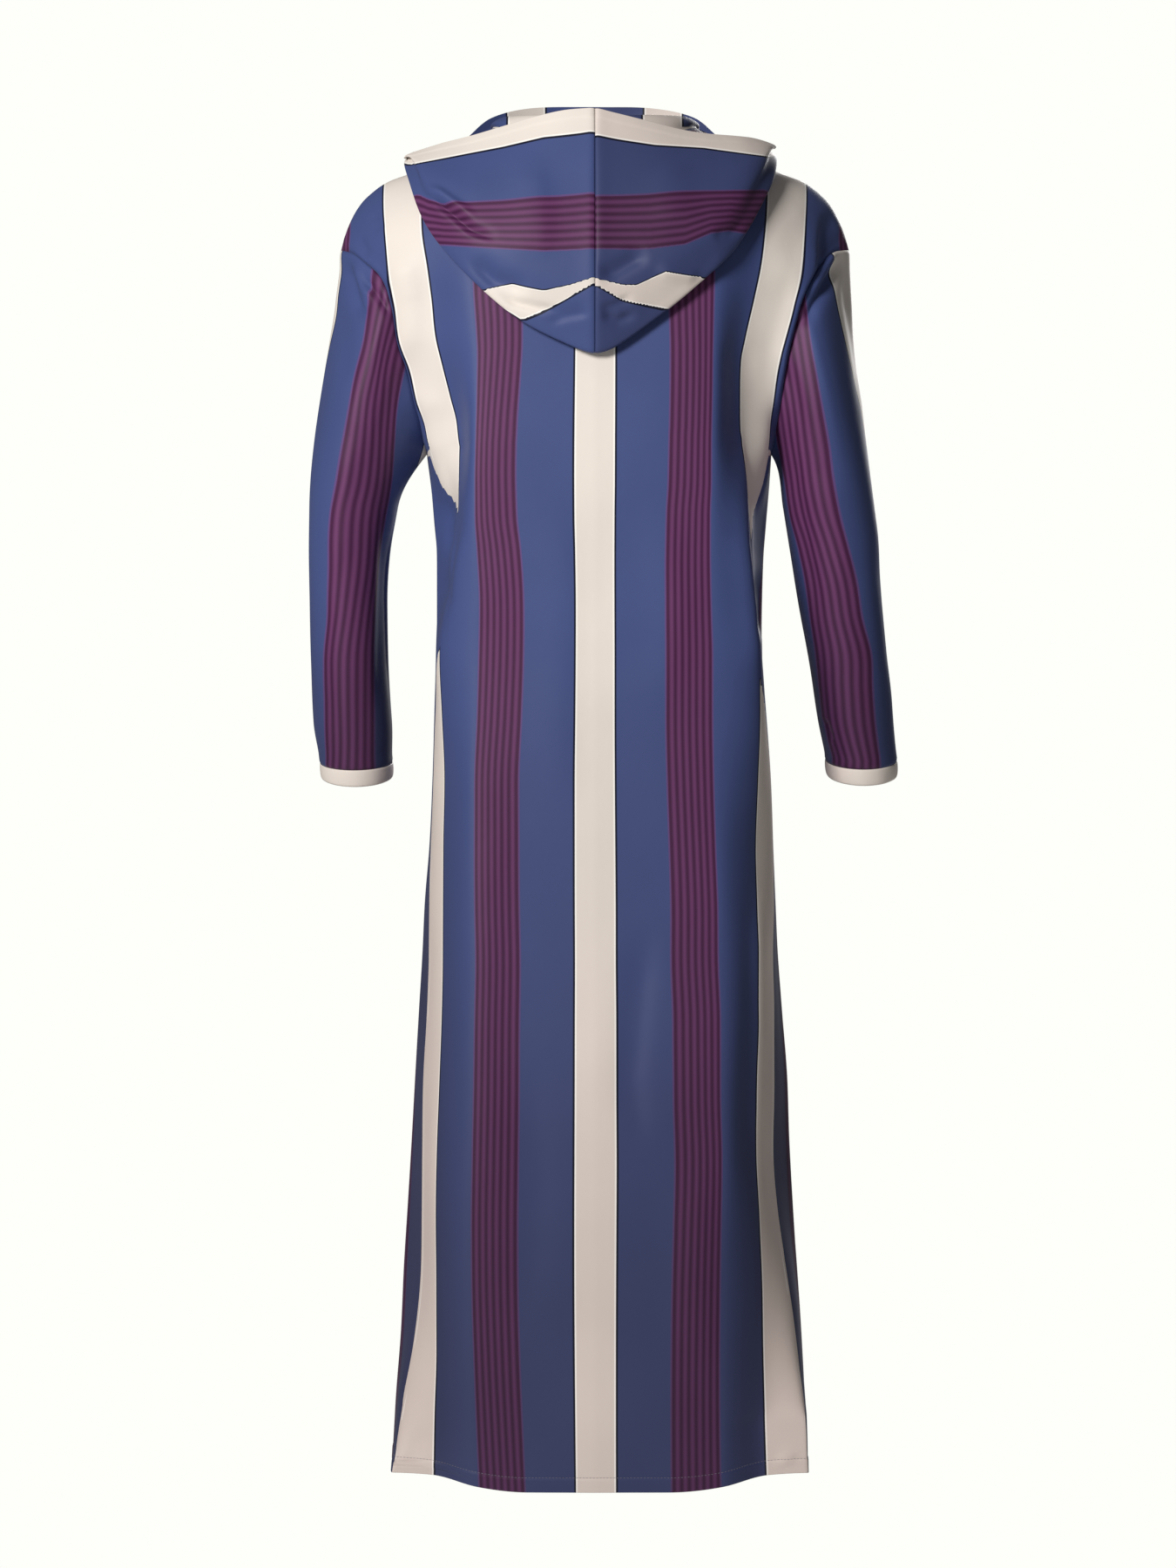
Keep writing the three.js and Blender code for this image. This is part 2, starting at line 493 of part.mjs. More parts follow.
// Pull each sewn edge back by half the seam gap, square to the seam on both sides of a corner.
const LEAST_MITRE = 0.4; // bounds how far a sharp corner is pulled
function insetSeams(piece) {
  const { at } = steps(piece.points, piece.wrap);
  const squares = new Map();
  for (const { line, inwards } of sewnEdges(piece)) {
    const closed = piece.wrap ? [...line, line[0]] : line;
    closed.slice(1).forEach((place, k) => {
      const tangent = at(...place).clone().sub(at(...closed[k]));
      for (const [i, j] of [place, closed[k]]) {
        const point = at(i, j);
        const square = tangent.clone().cross(piece.normals[i][j]).normalize();
        const inside = at(i + inwards[0], j + inwards[1]).clone().sub(point);
        if (square.dot(inside) < 0) square.negate();
        squares.set(point, [...(squares.get(point) ?? []), square]);
      }
    });
  }
  for (const [point, [first, second = first]] of squares) {
    const mitre = Math.max(1 + first.dot(second), LEAST_MITRE);
    squares.set(point, first.clone().add(second).multiplyScalar(SEAM_GAP / 2 / mitre));
  }
  squares.forEach((move, point) => point.add(move));
}

// The closed wall: an outer and an inner copy of the grid, joined along the open edges.
const SLANT = [0.01, 0.003, 1]; // a height that slants a little, so that no two points tie
function wallGeometry(piece) {
  const { rows, cols } = steps(piece.points, piece.wrap);
  const layer = (sign) => piece.points.flatMap((row, i) => row.flatMap((p, j) => p.clone()
    .addScaledVector(piece.normals[i][j], (sign * WALL) / 2).toArray()));
  const position = [...layer(1), ...layer(-1)];
  const inner = rows * cols;
  const id = (i, j) => i * cols + (j % cols);
  const index = [];
  const quad = (a, b, c, d) => index.push(a, b, c, a, c, d);
  const across = piece.wrap ? cols : cols - 1;
  for (let i = 0; i < rows - 1; i += 1) {
    for (let j = 0; j < across; j += 1) {
      const corners = [[i, j], [i, j + 1], [i + 1, j + 1], [i + 1, j]];
      const span = (m, n) => piece.points[m[0]][m[1] % cols].distanceTo(piece.points[n[0]][n[1] % cols]);
      // both faces of the cloth split along the shorter diagonal
      if (span(corners[1], corners[3]) < span(corners[0], corners[2])) corners.push(corners.shift());
      const [a, b, c, d] = corners.map(([row, col]) => id(row, col));
      quad(a, b, c, d);
      index.push(...[a, c, b, a, d, c].map((k) => k + inner));
    }
  }
  const height = (k) => SLANT.reduce((sum, weight, axis) => sum + weight * position[3 * k + axis], 0);
  // both pieces of a seam split its edge strip along the same diagonals
  const rim = (a, b) => (height(a) > height(b)
    ? quad(a, a + inner, b + inner, b) : quad(b, a, a + inner, b + inner));
  for (let j = 0; j < across; j += 1) {
    rim(id(0, j), id(0, j + 1));
    rim(id(rows - 1, j + 1), id(rows - 1, j));
  }
  if (!piece.wrap) {
    for (let i = 0; i < rows - 1; i += 1) {
      rim(id(i + 1, 0), id(i, 0));
      rim(id(i, cols - 1), id(i + 1, cols - 1));
    }
  }
  const geometry = new THREE.BufferGeometry();
  geometry.setAttribute('position', new THREE.Float32BufferAttribute(position, 3));
  geometry.setIndex(index);
  geometry.computeVertexNormals();
  return geometry;
}

// ---------------------------------------------------------------- the robe
const CLOTH = {
  striped: { color: 0x50598a, roughness: 0.62, metalness: 0 },
  cream: { color: 0xe4dacc, roughness: 0.62, metalness: 0 },
};
const pieces = [
  { name: 'front', points: panelGrid('front'), sewn: { top: true, sides: true } },
  { name: 'back', points: panelGrid('back'), sewn: { top: true, sides: true } },
];
for (const side of ['left', 'right']) {
  pieces.push(
    { name: `sleeve_${side}`, points: sleeveGrid(side), wrap: true, sewn: { top: true, bottom: true } },
    { name: `cuff_${side}`, points: cuffGrid(side), wrap: true, sewn: { top: true }, cloth: 'cream' },
    { name: `hood_${side}`, points: hoodGrid(side), sewn: { top: true, sides: true } },
  );
}
for (const piece of pieces) piece.normals = normalsOf(piece);
shareSeamNormals(pieces);
pieces.forEach(insetSeams);

const robe = new THREE.Group();
for (const piece of pieces) {
  const material = new THREE.MeshStandardMaterial(CLOTH[piece.cloth ?? 'striped']);
  const mesh = new THREE.Mesh(wallGeometry(piece), material);
  mesh.name = piece.name;
  robe.add(mesh);
}
export default robe;
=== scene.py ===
"""Looks of a hooded kaftan in its worn, hollow form: striped cloth, folds, seams and hem stitches.

Lengths are millimetres until a mesh is made. +X is the wearer's left, +Y the wearer's back.
"""
import math

import bpy
import numpy as np
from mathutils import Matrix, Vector


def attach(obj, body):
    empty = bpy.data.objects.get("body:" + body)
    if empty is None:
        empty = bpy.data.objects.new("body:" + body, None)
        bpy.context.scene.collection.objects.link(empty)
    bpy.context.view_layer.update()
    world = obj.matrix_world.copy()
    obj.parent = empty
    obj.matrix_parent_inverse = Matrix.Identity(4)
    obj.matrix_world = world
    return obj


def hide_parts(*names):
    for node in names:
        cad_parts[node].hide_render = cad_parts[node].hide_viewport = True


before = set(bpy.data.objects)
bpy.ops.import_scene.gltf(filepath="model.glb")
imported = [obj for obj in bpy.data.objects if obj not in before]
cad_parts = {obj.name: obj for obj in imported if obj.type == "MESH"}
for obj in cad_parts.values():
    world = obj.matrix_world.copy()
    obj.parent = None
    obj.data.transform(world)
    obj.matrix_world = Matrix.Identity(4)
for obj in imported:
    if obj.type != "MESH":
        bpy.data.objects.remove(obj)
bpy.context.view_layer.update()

# ------------------------------------------------------------------ sizes
MM = 0.001
UNDERARM_Z = -283.0
HEM_Z = -1335.0
HEM_RISE_FROM, HEM_RISE_TO, HEM_RISE = 70.0, 210.0, 15.0
NECK_CUT = 89.0        # half the neck opening, along the cloth
NECK_DEEP = {"back": 74.0, "front": 100.0}
NECK_POWER = 2.2       # 2 would make the neckline an ellipse
SHOULDER_ROUND = {"back": 115.0, "front": 150.0}
CUT_PURPLE, CUT_CREAM_IN, CUT_CREAM_OUT = 122.5, 175.0, 215.0  # from the panel's centre line
FLAT_DROP = 4.0        # the panel is this much less deep at the purple than at its middle
FRONT_SCOOP = 7.0      # the front's armhole is cut this much further in
INNER_SHARE = 0.68     # share of the columns from the centre line to the outer cream stripe
CLOTH = 1.0            # thickness of the shown cloth
CUFF_CLOTH = 1.6       # the cuffs are folded double
SIDE_SIGN = {"left": 1, "right": -1}
FACE_SIGN = {"back": 1, "front": -1}

# The print across the cloth. A repeat runs from the middle of one cream stripe to the next.
REPEAT = 195.0
CREAM_HALF = 20.0
BLUE_END = 72.5        # where the blue meets the purple
BAR_PITCH = 7.4        # one fine bar of the purple and its gap
WHITE_WIDE, NAVY_WIDE = 1.6, 1.9       # fine lines within and beyond the edge of the cream
LILAC_FROM, LILAC_TO = -0.7, 0.9       # fine line about the edge of the purple


# ------------------------------------------------------------------ curves
def cubic(xs, ys, at):
    """Monotone cubic through (xs, ys) along the last axis, read at each value of at.

    Each span is a Hermite cubic. The slope at a knot is the weighted mean of the slopes on both
    sides, three times the smaller of them at most, and 0 where they differ in sign.
    xs and ys hold one row of knots for each row of at, or one row for all of them.
    """
    at = np.asarray(at, float)
    xs, ys = np.broadcast_arrays(np.asarray(xs, float), np.asarray(ys, float))
    step = np.diff(xs, axis=-1)
    slope = np.diff(ys, axis=-1) / step
    before, after = slope[..., :-1], slope[..., 1:]
    h0, h1 = step[..., :-1], step[..., 1:]
    mean = (before * h1 + after * h0) / (h0 + h1)
    size = np.minimum(np.abs(mean), 3 * np.minimum(np.abs(before), np.abs(after)))
    inner = np.where(before * after > 0, np.sign(mean) * size, 0)
    tangent = np.concatenate([slope[..., :1], inner, slope[..., -1:]], axis=-1)
    at = np.clip(at, xs[..., :1], xs[..., -1:])
    k = np.clip((at[..., None] > xs[..., None, 1:-1]).sum(-1), 0, xs.shape[-1] - 2)
    shape = k.shape

    def pick(values, index):
        """The values at each index, row by row."""
        wide = np.broadcast_to(values, shape[:-1] + values.shape[-1:])
        return np.take_along_axis(wide, index, -1)

    h = pick(step, k)
    t = (at - pick(xs, k)) / h
    return ((2 * t**3 - 3 * t**2 + 1) * pick(ys, k) + (t**3 - 2 * t**2 + t) * h * pick(tangent, k)
            + (3 * t**2 - 2 * t**3) * pick(ys, k + 1) + (t**3 - t**2) * h * pick(tangent, k + 1))


def table(header, rows):
    """Named columns over the first column: each name gives a monotone cubic function of it."""
    data = np.array(rows, float)
    order = np.argsort(data[:, 0])
    data = data[order]

    def column(i):
        """The cubic through column i."""
        return lambda at: cubic(data[:, 0], data[:, i], np.atleast_1d(at))
    return {name: column(i) for i, name in enumerate(header.split())}


def smooth(x, low=0.0, high=1.0):
    """Smoothstep: t^2 (3 - 2t), with t the share that x has run from low to high."""
    t = np.clip((x - low) / (high - low), 0, 1)
    return t * t * (3 - 2 * t)


# ------------------------------------------------------------------ body sections
SHOULDER = table("x z", [
    (0, 62), (50, 55), (88, 43), (120, 31), (160, 16), (195, 3), (212, -3), (221, -8),
    (229, -14), (242, -27), (250, -40), (256, -54), (262, -75),
])["z"]

ABOVE = "v xP xCi xCo xE yCi yCo yE cut"
YOKE = {
    "left": table(ABOVE, [
        (0.00, 121.0, 176, 217.0, 262.0, 96, 66, 20, 285),
        (0.12, 121.5, 176, 215.5, 254.5, 97, 70, 30, 272),
        (0.26, 122.0, 175, 212.0, 238.0, 98, 76, 50, 246),
        (0.40, 122.5, 169, 207.5, 214.5, 98, 80, 68, 222),
        (0.50, 122.0, 165, 202.0, 206.5, 96, 79, 74, 219),
        (0.65, 119.0, 160, 195.5, 199.0, 93, 76, 73, 219),
        (0.72, 118.0, 155, 188.0, 192.0, 90, 70, 67, 219),
        (0.84, 118.5, 146, 180.0, 184.0, 84, 63, 58, 220),
        (0.92, 119.0, 140, 172.5, 177.5, 80, 57, 43, 230),
        (0.95, 119.3, 139, 171.0, 176.0, 79, 55, 35, 238),
        (0.98, 119.5, 138, 169.5, 174.2, 78, 53, 22, 250),
        (1.00, 119.7, 137, 168.0, 172.8, 77, 51, 0, 266),
    ]),
    "right": table(ABOVE, [
        (0.00, 121.0, 176, 217.0, 262.0, 96, 66, 20, 285),
        (0.12, 121.0, 175, 215.0, 254.0, 97, 70, 30, 272),
        (0.26, 120.5, 172, 211.0, 236.0, 98, 76, 50, 246),
        (0.40, 120.0, 167, 205.5, 217.0, 98, 80, 68, 229),
        (0.50, 119.5, 161, 199.0, 208.0, 97, 80, 74, 228),
        (0.65, 118.5, 151, 188.5, 198.0, 95, 77, 73, 227),
        (0.72, 118.0, 147, 184.0, 194.0, 93, 73, 67, 228),
        (0.84, 117.5, 146, 180.0, 189.0, 89, 66, 58, 229),
        (0.92, 117.0, 146, 177.5, 185.0, 86, 61, 43, 236),
        (0.95, 116.8, 146, 177.0, 183.6, 85, 60, 35, 243),
        (0.98, 116.6, 147, 176.5, 182.2, 84, 58, 22, 254),
        (1.00, 116.5, 147, 176.0, 181.0, 83, 56, 0, 268),
    ]),
}

BELOW = "z xP xCi xCo xE"
SKIRT = {
    "left": table(BELOW, [
        (-1336, 116.5, 163.0, 204.0, 208.0), (-1276, 119.0, 162.0, 195.0, 205.0),
        (-1206, 121.5, 160.0, 183.0, 200.0), (-1136, 123.5, 160.0, 176.0, 197.0),
        (-1071, 124.0, 160.5, 175.0, 193.0), (-1006, 123.0, 159.5, 174.5, 189.0),
        (-936, 121.5, 157.0, 173.5, 185.0), (-866, 120.5, 154.5, 170.0, 181.0),
        (-806, 119.5, 153.5, 168.0, 177.3), (-751, 120.5, 153.5, 168.0, 174.6),
        (-696, 121.0, 153.5, 167.0, 170.0), (-626, 121.0, 152.5, 165.0, 166.8),
        (-556, 118.5, 155.0, 163.0, 164.8), (-501, 117.0, 157.0, 161.5, 163.2),
        (-446, 116.0, 154.5, 157.0, 162.8), (-391, 118.5, 151.0, 153.5, 162.8),
        (-356, 120.5, 143.0, 147.0, 165.6), (-321, 120.5, 138.5, 157.0, 168.5),
        (-283, 119.7, 137.0, 168.0, 172.8),
    ]),
    "right": table(BELOW, [
        (-1336, 126.0, 173.0, 214.0, 216.0), (-1276, 125.0, 171.0, 211.0, 215.0),
        (-1206, 124.5, 169.0, 202.0, 212.0), (-1136, 125.0, 168.0, 193.0, 208.0),
        (-1071, 126.0, 165.5, 184.0, 204.0), (-1006, 127.0, 163.5, 180.0, 200.5),
        (-936, 125.5, 164.0, 181.0, 198.0), (-866, 125.5, 166.0, 181.0, 192.5),
        (-806, 123.5, 166.0, 180.0, 188.0), (-751, 123.0, 164.0, 181.5, 185.4),
        (-696, 121.0, 162.0, 181.0, 183.0), (-626, 119.0, 164.0, 178.5, 180.0),
        (-556, 118.0, 166.0, 173.5, 175.0), (-501, 118.0, 166.0, 169.5, 171.2),
        (-446, 116.5, 161.5, 164.5, 171.8), (-391, 115.5, 158.0, 161.0, 173.6),
        (-356, 115.5, 154.5, 163.0, 176.4), (-321, 116.5, 150.5, 169.5, 179.0),
        (-283, 116.5, 147.0, 176.0, 181.0),
    ]),
}
DEPTH = table("v back front", [
    (0, 116, 118), (0.26, 120, 124), (0.5, 127, 130), (0.84, 130, 134), (1, 130, 134),
    (1.12, 125, 130), (1.22, 120, 127), (1.35, 122, 127), (1.5, 128, 130), (1.7, 134, 134),
    (1.85, 131, 131), (2, 120, 122),
])
OTHER = {"left": "right", "right": "left"}


def kept_width(cut, across):
    """Depth gained by a stripe that narrows across: the root of cut^2 - across^2."""
    return np.sqrt(np.maximum(cut**2 - across**2, 0))


def round_over(drop, reach):
    """Share of the full depth at a drop below the shoulder: the root of 1 - (1 - drop / reach)^2."""
    return np.sqrt(1 - np.maximum(1 - drop / reach, 0) ** 2)


def section(side, face, v):
    """Stations of the half section at each level v: x and y as columns, and the cut to its edge.

    v is 0 at the shoulder, 1 at the underarm and 2 at the hem. Down to the underarm the stations
    come from the tables. Below it y falls, from one station to the next, by the depth that the
    stripe between them gains as it narrows.
    """
    donor = side if face == "back" else OTHER[side]
    depth = DEPTH[face](v)
    yoke, own = YOKE[donor], YOKE[side]
    low = np.minimum(v, 1)
    scoop = FRONT_SCOOP * np.sin(np.pi * low) if face == "front" else 0 * low
    fit = own["xE"](low) / yoke["xE"](low)
    deep = depth / DEPTH["back"](v)
    above_x = [0 * low, yoke["xP"](low) * fit, yoke["xCi"](low) * fit, yoke["xCo"](low) * fit - scoop,
               own["xE"](low) - scoop]
    above_y = [depth, depth - FLAT_DROP, yoke["yCi"](low) * deep, yoke["yCo"](low) * deep,
               yoke["yE"](low)]
    z = UNDERARM_Z + (np.maximum(v, 1) - 1) * (HEM_Z - UNDERARM_Z)
    skirt = SKIRT[donor]
    fit = SKIRT[side]["xE"](z) / skirt["xE"](z)
    below_x = [0 * z] + [skirt[name](z) * fit for name in ("xP", "xCi", "xCo", "xE")]
    y1 = depth - FLAT_DROP
    y2 = y1 - kept_width(CUT_CREAM_IN - CUT_PURPLE, below_x[2] - below_x[1])
    y3 = y2 - kept_width(CUT_CREAM_OUT - CUT_CREAM_IN, below_x[3] - below_x[2])
    below_y = [depth, y1, y2, y3, 0 * z]
    edge = CUT_CREAM_OUT + np.hypot(y3, below_x[4] - below_x[3])
    upper = (v <= 1)[:, None]
    x = np.where(upper, np.stack(above_x, 1), np.stack(below_x, 1))
    y = np.where(upper, np.stack(above_y, 1), np.stack(below_y, 1))
    return x, y, np.where(v <= 1, yoke["cut"](low), edge)


def neck_drop(face, cut):
    """How far the neckline lies below the shoulder line at a cut distance from the centre.

    Out from the shoulder line = depth of the neck * (1 - inside^power)^(1 / power).
    Drop = shoulder's radius * (1 - the root of 1 - (out / full depth)^2).
    """
    inside = np.clip(cut / NECK_CUT, 0, 1)
    out = NECK_DEEP[face] * (1 - inside**NECK_POWER) ** (1 / NECK_POWER)
    full = DEPTH[face](0.0) - FLAT_DROP * (cut / CUT_PURPLE) ** 2
    return SHOULDER_ROUND[face] * (1 - np.sqrt(1 - (out / full) ** 2))


def body_points(side, face, s, v):
    """Grid of body points: rows at levels v, columns at shares s (one row of s for each v).

    x and the full depth are cubics through the section's stations, read at the cut distance.
    Above the underarm z goes evenly from the shoulder line to the underarm, less the drop of the
    neckline times (1 - v)^2, and y is the full depth times the rounding over the shoulder.
    Returns the points and the cut distance of each from the panel's centre line.
    """
    x_at, y_at, edge = section(side, face, v)
    edge = edge[:, None]
    cut = np.where(s <= INNER_SHARE, CUT_CREAM_IN * s / INNER_SHARE,
                   CUT_CREAM_IN + (edge - CUT_CREAM_IN) * (s - INNER_SHARE) / (1 - INNER_SHARE))
    knots = np.array([0, CUT_PURPLE, CUT_CREAM_IN, CUT_CREAM_OUT, 0.0])
    stations = np.repeat(knots[None], len(v), 0)
    stations[:, 4:] = edge
    x = cubic(stations, x_at, cut)
    full = cubic(stations, y_at, cut)
    level = v[:, None]
    shoulder = SHOULDER(np.abs(x).ravel()).reshape(x.shape)
    top = neck_drop(face, cut) * np.maximum(1 - level, 0) ** 2
    drop = top + (shoulder - UNDERARM_Z) * level
    upper_z = shoulder * (1 - level) + UNDERARM_Z * level - top
    rise = HEM_RISE * smooth(cut, HEM_RISE_FROM, HEM_RISE_TO) * (level - 1)
    lower_z = UNDERARM_Z + (level - 1) * (HEM_Z - UNDERARM_Z) + rise
    z = np.where(level > 1, lower_z, upper_z)
    y = np.where(level > 1, full, full * round_over(drop, SHOULDER_ROUND[face]))
    return np.stack([SIDE_SIGN[side] * x, FACE_SIGN[face] * y, z], -1), cut


def neck_share(t):
    """Share of the half panel at part t of the neckline: sine of t quarter turns * neck's share."""
    return np.sin(np.asarray(t) * np.pi / 2) * NECK_CUT * INNER_SHARE / CUT_CREAM_IN


# ------------------------------------------------------------------ hood
# Lines of the hood along c: its rim, and the fold where it turns back over itself.
RIM = {
    "left": table("c x y z", [
        (0, 0, 112, 53), (1 / 6, 28, 110, 52), (2 / 6, 60, 104, 46), (3 / 6, 92, 95, 38),
        (4 / 6, 126, 83, 30), (5 / 6, 160, 66, 24), (1, 196, 34, 16.5), (7 / 6, 184, 2, 26.5),
        (8 / 6, 162, -28, 37.5), (9 / 6, 138, -54, 48.5), (10 / 6, 108, -84, 78),
        (11 / 6, 60, -105, 92), (2, 0, -113, 94),
    ]),
    "right": table("c x y z", [
        (0, 0, 112, 53), (1 / 6, 28, 110, 47), (2 / 6, 58, 104, 40.5), (3 / 6, 90, 95, 34),
        (4 / 6, 124, 83, 31.5), (5 / 6, 156, 66, 31.5), (1, 185, 36, 27), (7 / 6, 176, 2, 33),
        (8 / 6, 156, -28, 44), (9 / 6, 132, -54, 51), (10 / 6, 104, -84, 78),
        (11 / 6, 58, -105, 91.5), (2, 0, -113, 94),
    ]),
}
FOLD = {
    "left": table("c x z", [
        (0, 0, -194), (1 / 6, 22, -188), (2 / 6, 68, -166), (3 / 6, 104, -139), (4 / 6, 143, -100),
        (5 / 6, 176, -56), (0.92, 188, -25), (1, 195.5, 0), (7 / 6, 183, 12), (2, 0, 86),
    ]),
    "right": table("c x z", [
        (0, 0, -194), (1 / 6, 22, -187), (2 / 6, 62, -159), (3 / 6, 98, -130), (4 / 6, 138, -92),
        (5 / 6, 168, -47), (0.92, 181, -21), (1, 186, 3), (7 / 6, 175, 16), (2, 0, 86),
    ]),
}
HOOD_BULGE = table("c y", [(0, 24), (0.35, 24), (0.7, 16), (0.9, 9), (1, 5), (2, 0)])["y"]
INNER_LIFT = table("c mm", [(0, 3.8), (0.35, 4.5), (0.6, 7), (1, 9), (2, 9)])["mm"]
# c runs along the hood: 0 at the centre back, 1 at the side corner, 2 at the centre front.
TURNED_FROM, TURNED_TO = 1.0, 1.34               # the hood stops being turned back between these
TURN_EDGE, TURN_OUTER, TURN_BACK = 5.5, 11.0, 9.0
STAND_STEPS = ((2, 11), (9, 17), (20, 11))       # out of the neck seam and up
INNER_STEPS = ((0.18, 4), (0.44, 0), (0.7, 0))   # share of the way to the fold, and extra lift
OUTER_STEPS = (0.22, 0.48, 0.74, 0.93)           # share of the way from the fold to the rim
BULGE_POWER = 0.8
UPRIGHT = np.array([0, 0.08, 0.16, 0.24, 0.33, 0.42, 0.5, 0.58, 0.66, 0.73, 0.8, 0.86, 0.92,
                    0.96, 1])                    # share of the way from the neck to the rim
UPRIGHT_BOW = 9.0
HOOD_STEPS = len(UPRIGHT) - 1
CLEAR = 4.5                                      # room over the shoulder
CLEAR_LEVEL, CLEAR_INSIDE, CLEAR_SHARE = 0.1, 10, 0.85


def over_back(side, x, angle, lift):
    """Points of the back lifted off it, at x across and angle over the shoulder.

    The drop is that of a circle up to a right angle, and straight down after it. The point is
    the section's depth and the lift together, times the sine of the angle, and the shoulder less
    the drop, plus the lift times the cosine.
    """
    reach = SHOULDER_ROUND["back"]
    bend = np.minimum(angle, np.pi / 2)
    drop = reach * (1 - np.cos(bend)) + reach * (angle - bend)
    shoulder = SHOULDER(np.abs(x))
    v = np.clip(drop / (shoulder - UNDERARM_Z), 0, 1)
    x_at, y_at, _ = section(side, "back", v)
    full = cubic(x_at, y_at, np.abs(x)[:, None])[:, 0]
    return np.stack([x, (full + lift) * np.sin(bend), shoulder - drop + lift * np.cos(bend)], -1)


def angle_at(x, z):
    """Angle over the shoulder of a point at height z: the arc cosine of 1 - drop / radius.

    Past a drop of one radius it is a right angle and what remains of the drop over the radius.
    """
    drop = np.maximum(SHOULDER(np.abs(x)) - z, 0) / SHOULDER_ROUND["back"]
    return np.where(drop < 1, np.arccos(np.clip(1 - drop, -1, 1)), np.pi / 2 + drop - 1)


def clear_shoulder(side, points, c):
    """Lifts what lies over the shoulders clear of them.

    Roof = shoulder line + room - radius * (1 - the root of 1 - share^2), with share the point's
    depth over the section's. The greater of the roof and the point's own height is kept.
    """
    for face, on_face in (("back", points[..., 1] > 0), ("front", points[..., 1] <= 0)):
        x = np.abs(points[..., 0])
        x_at, y_at, _ = section(side, face, np.array([CLEAR_LEVEL]))
        share = np.abs(points[..., 1]) / cubic(x_at[0], y_at[0], x.ravel()).reshape(x.shape)
        over = on_face & (x > NECK_CUT - CLEAR_INSIDE) & (share < CLEAR_SHARE) & (c > 1)[:, None]
        over[:, :2] = False
        roof = (SHOULDER(x.ravel()).reshape(x.shape) + CLEAR
                - SHOULDER_ROUND[face] * (1 - np.sqrt(1 - np.clip(share, 0, 1) ** 2)))
        points[..., 2] = np.where(over, np.maximum(points[..., 2], roof), points[..., 2])
    return points


def hood_controls(side, c):
    """Control points of the hood at each c: rows c, columns from the neck seam to the rim.

    Folded: up off the neck seam, down over the back to the fold, round it, and straight up to
    the rim, bulged by the sine of the share. Upright: straight from the neck to the rim, bowed
    by the sine. The hood = folded * turned + upright * (1 - turned), with turned a smoothstep.
    """
    sign = SIDE_SIGN[side]
    share = neck_share(np.where(c <= 1, c, 2 - c))
    zero = np.zeros(1)
    necks = [body_points(side, face, share[None], zero)[0][0] for face in ("back", "front")]
    neck = np.where((c <= 1)[:, None], necks[0], necks[1])
    rim = np.stack([sign * RIM[side]["x"](c), RIM[side]["y"](c), RIM[side]["z"](c)], -1)
    deep = np.where(c <= 1, NECK_DEEP["back"], NECK_DEEP["front"])
    out = np.stack([neck[:, 0] / NECK_CUT**2, neck[:, 1] / deep**2, 0 * c], -1)
    out /= np.linalg.norm(out, axis=1)[:, None]
    fold_x = FOLD[side]["x"](c)
    fold_angle = angle_at(fold_x, FOLD[side]["z"](c))
    fold_x = sign * fold_x
    start_angle = angle_at(neck[:, 0], neck[:, 2])
    lift = INNER_LIFT(c)

    def along(t, high):
        """Share t of the way from the neck to the fold, lifted high off the back."""
        return over_back(side, neck[:, 0] + (fold_x - neck[:, 0]) * t,
                         start_angle + (fold_angle - start_angle) * t, high)

    def step(outwards, up):
        """Off the neck seam: outwards along its way out, and up."""
        return neck + out * outwards + np.array([0, 0, up])

    length = np.hypot(fold_x - neck[:, 0], (fold_angle - start_angle) * SHOULDER_ROUND["back"])
    before = 1 - TURN_BACK / np.maximum(length, 3 * TURN_BACK)
    turn = along(before, lift + TURN_OUTER)

    def outer(f):
        """Share f of the way from the fold to the rim, bulged by the sine of f^power."""
        bulge = HOOD_BULGE(c) * math.sin(math.pi * f**BULGE_POWER)
        return turn + (rim - turn) * f + np.stack([0 * c, bulge, 0 * c], -1)

    folded = np.stack([neck, *(step(out_by, up_by) for out_by, up_by in STAND_STEPS),
                       *(along(share, lift + extra) for share, extra in INNER_STEPS),
                       along(before, lift), along(1, lift + TURN_EDGE), turn,
                       *(outer(share) for share in OUTER_STEPS), rim], 1)
    lean = (out + np.array([0, 0, 1.0])) * UPRIGHT_BOW
    f = UPRIGHT[None, :, None]
    upright = neck[:, None] * (1 - f) + rim[:, None] * f + lean[:, None] * np.sin(np.pi * f)
    turned = (1 - smooth(c, TURNED_FROM, TURNED_TO))[:, None, None]
    return clear_shoulder(side, upright * (1 - turned) + folded * turned, c)


def spline(controls, t):
    """Catmull-Rom through controls (rows, steps, 3) at each t: a grid of len(t) rows.

    Each span is the cubic that passes its two ends with half the run between their neighbours.
    """
    i = np.minimum(np.floor(t).astype(int), HOOD_STEPS - 1)
    f = (t - i)[:, None, None]
    last = controls.shape[1] - 1
    p = [controls[:, np.clip(i + k, 0, last)].swapaxes(0, 1) for k in (-1, 0, 1, 2)]
    return ((-0.5 * f + f**2 - 0.5 * f**3) * p[0] + (1 - 2.5 * f**2 + 1.5 * f**3) * p[1]
            + (0.5 * f + 2 * f**2 - 1.5 * f**3) * p[2] + (-0.5 * f**2 + 0.5 * f**3) * p[3])


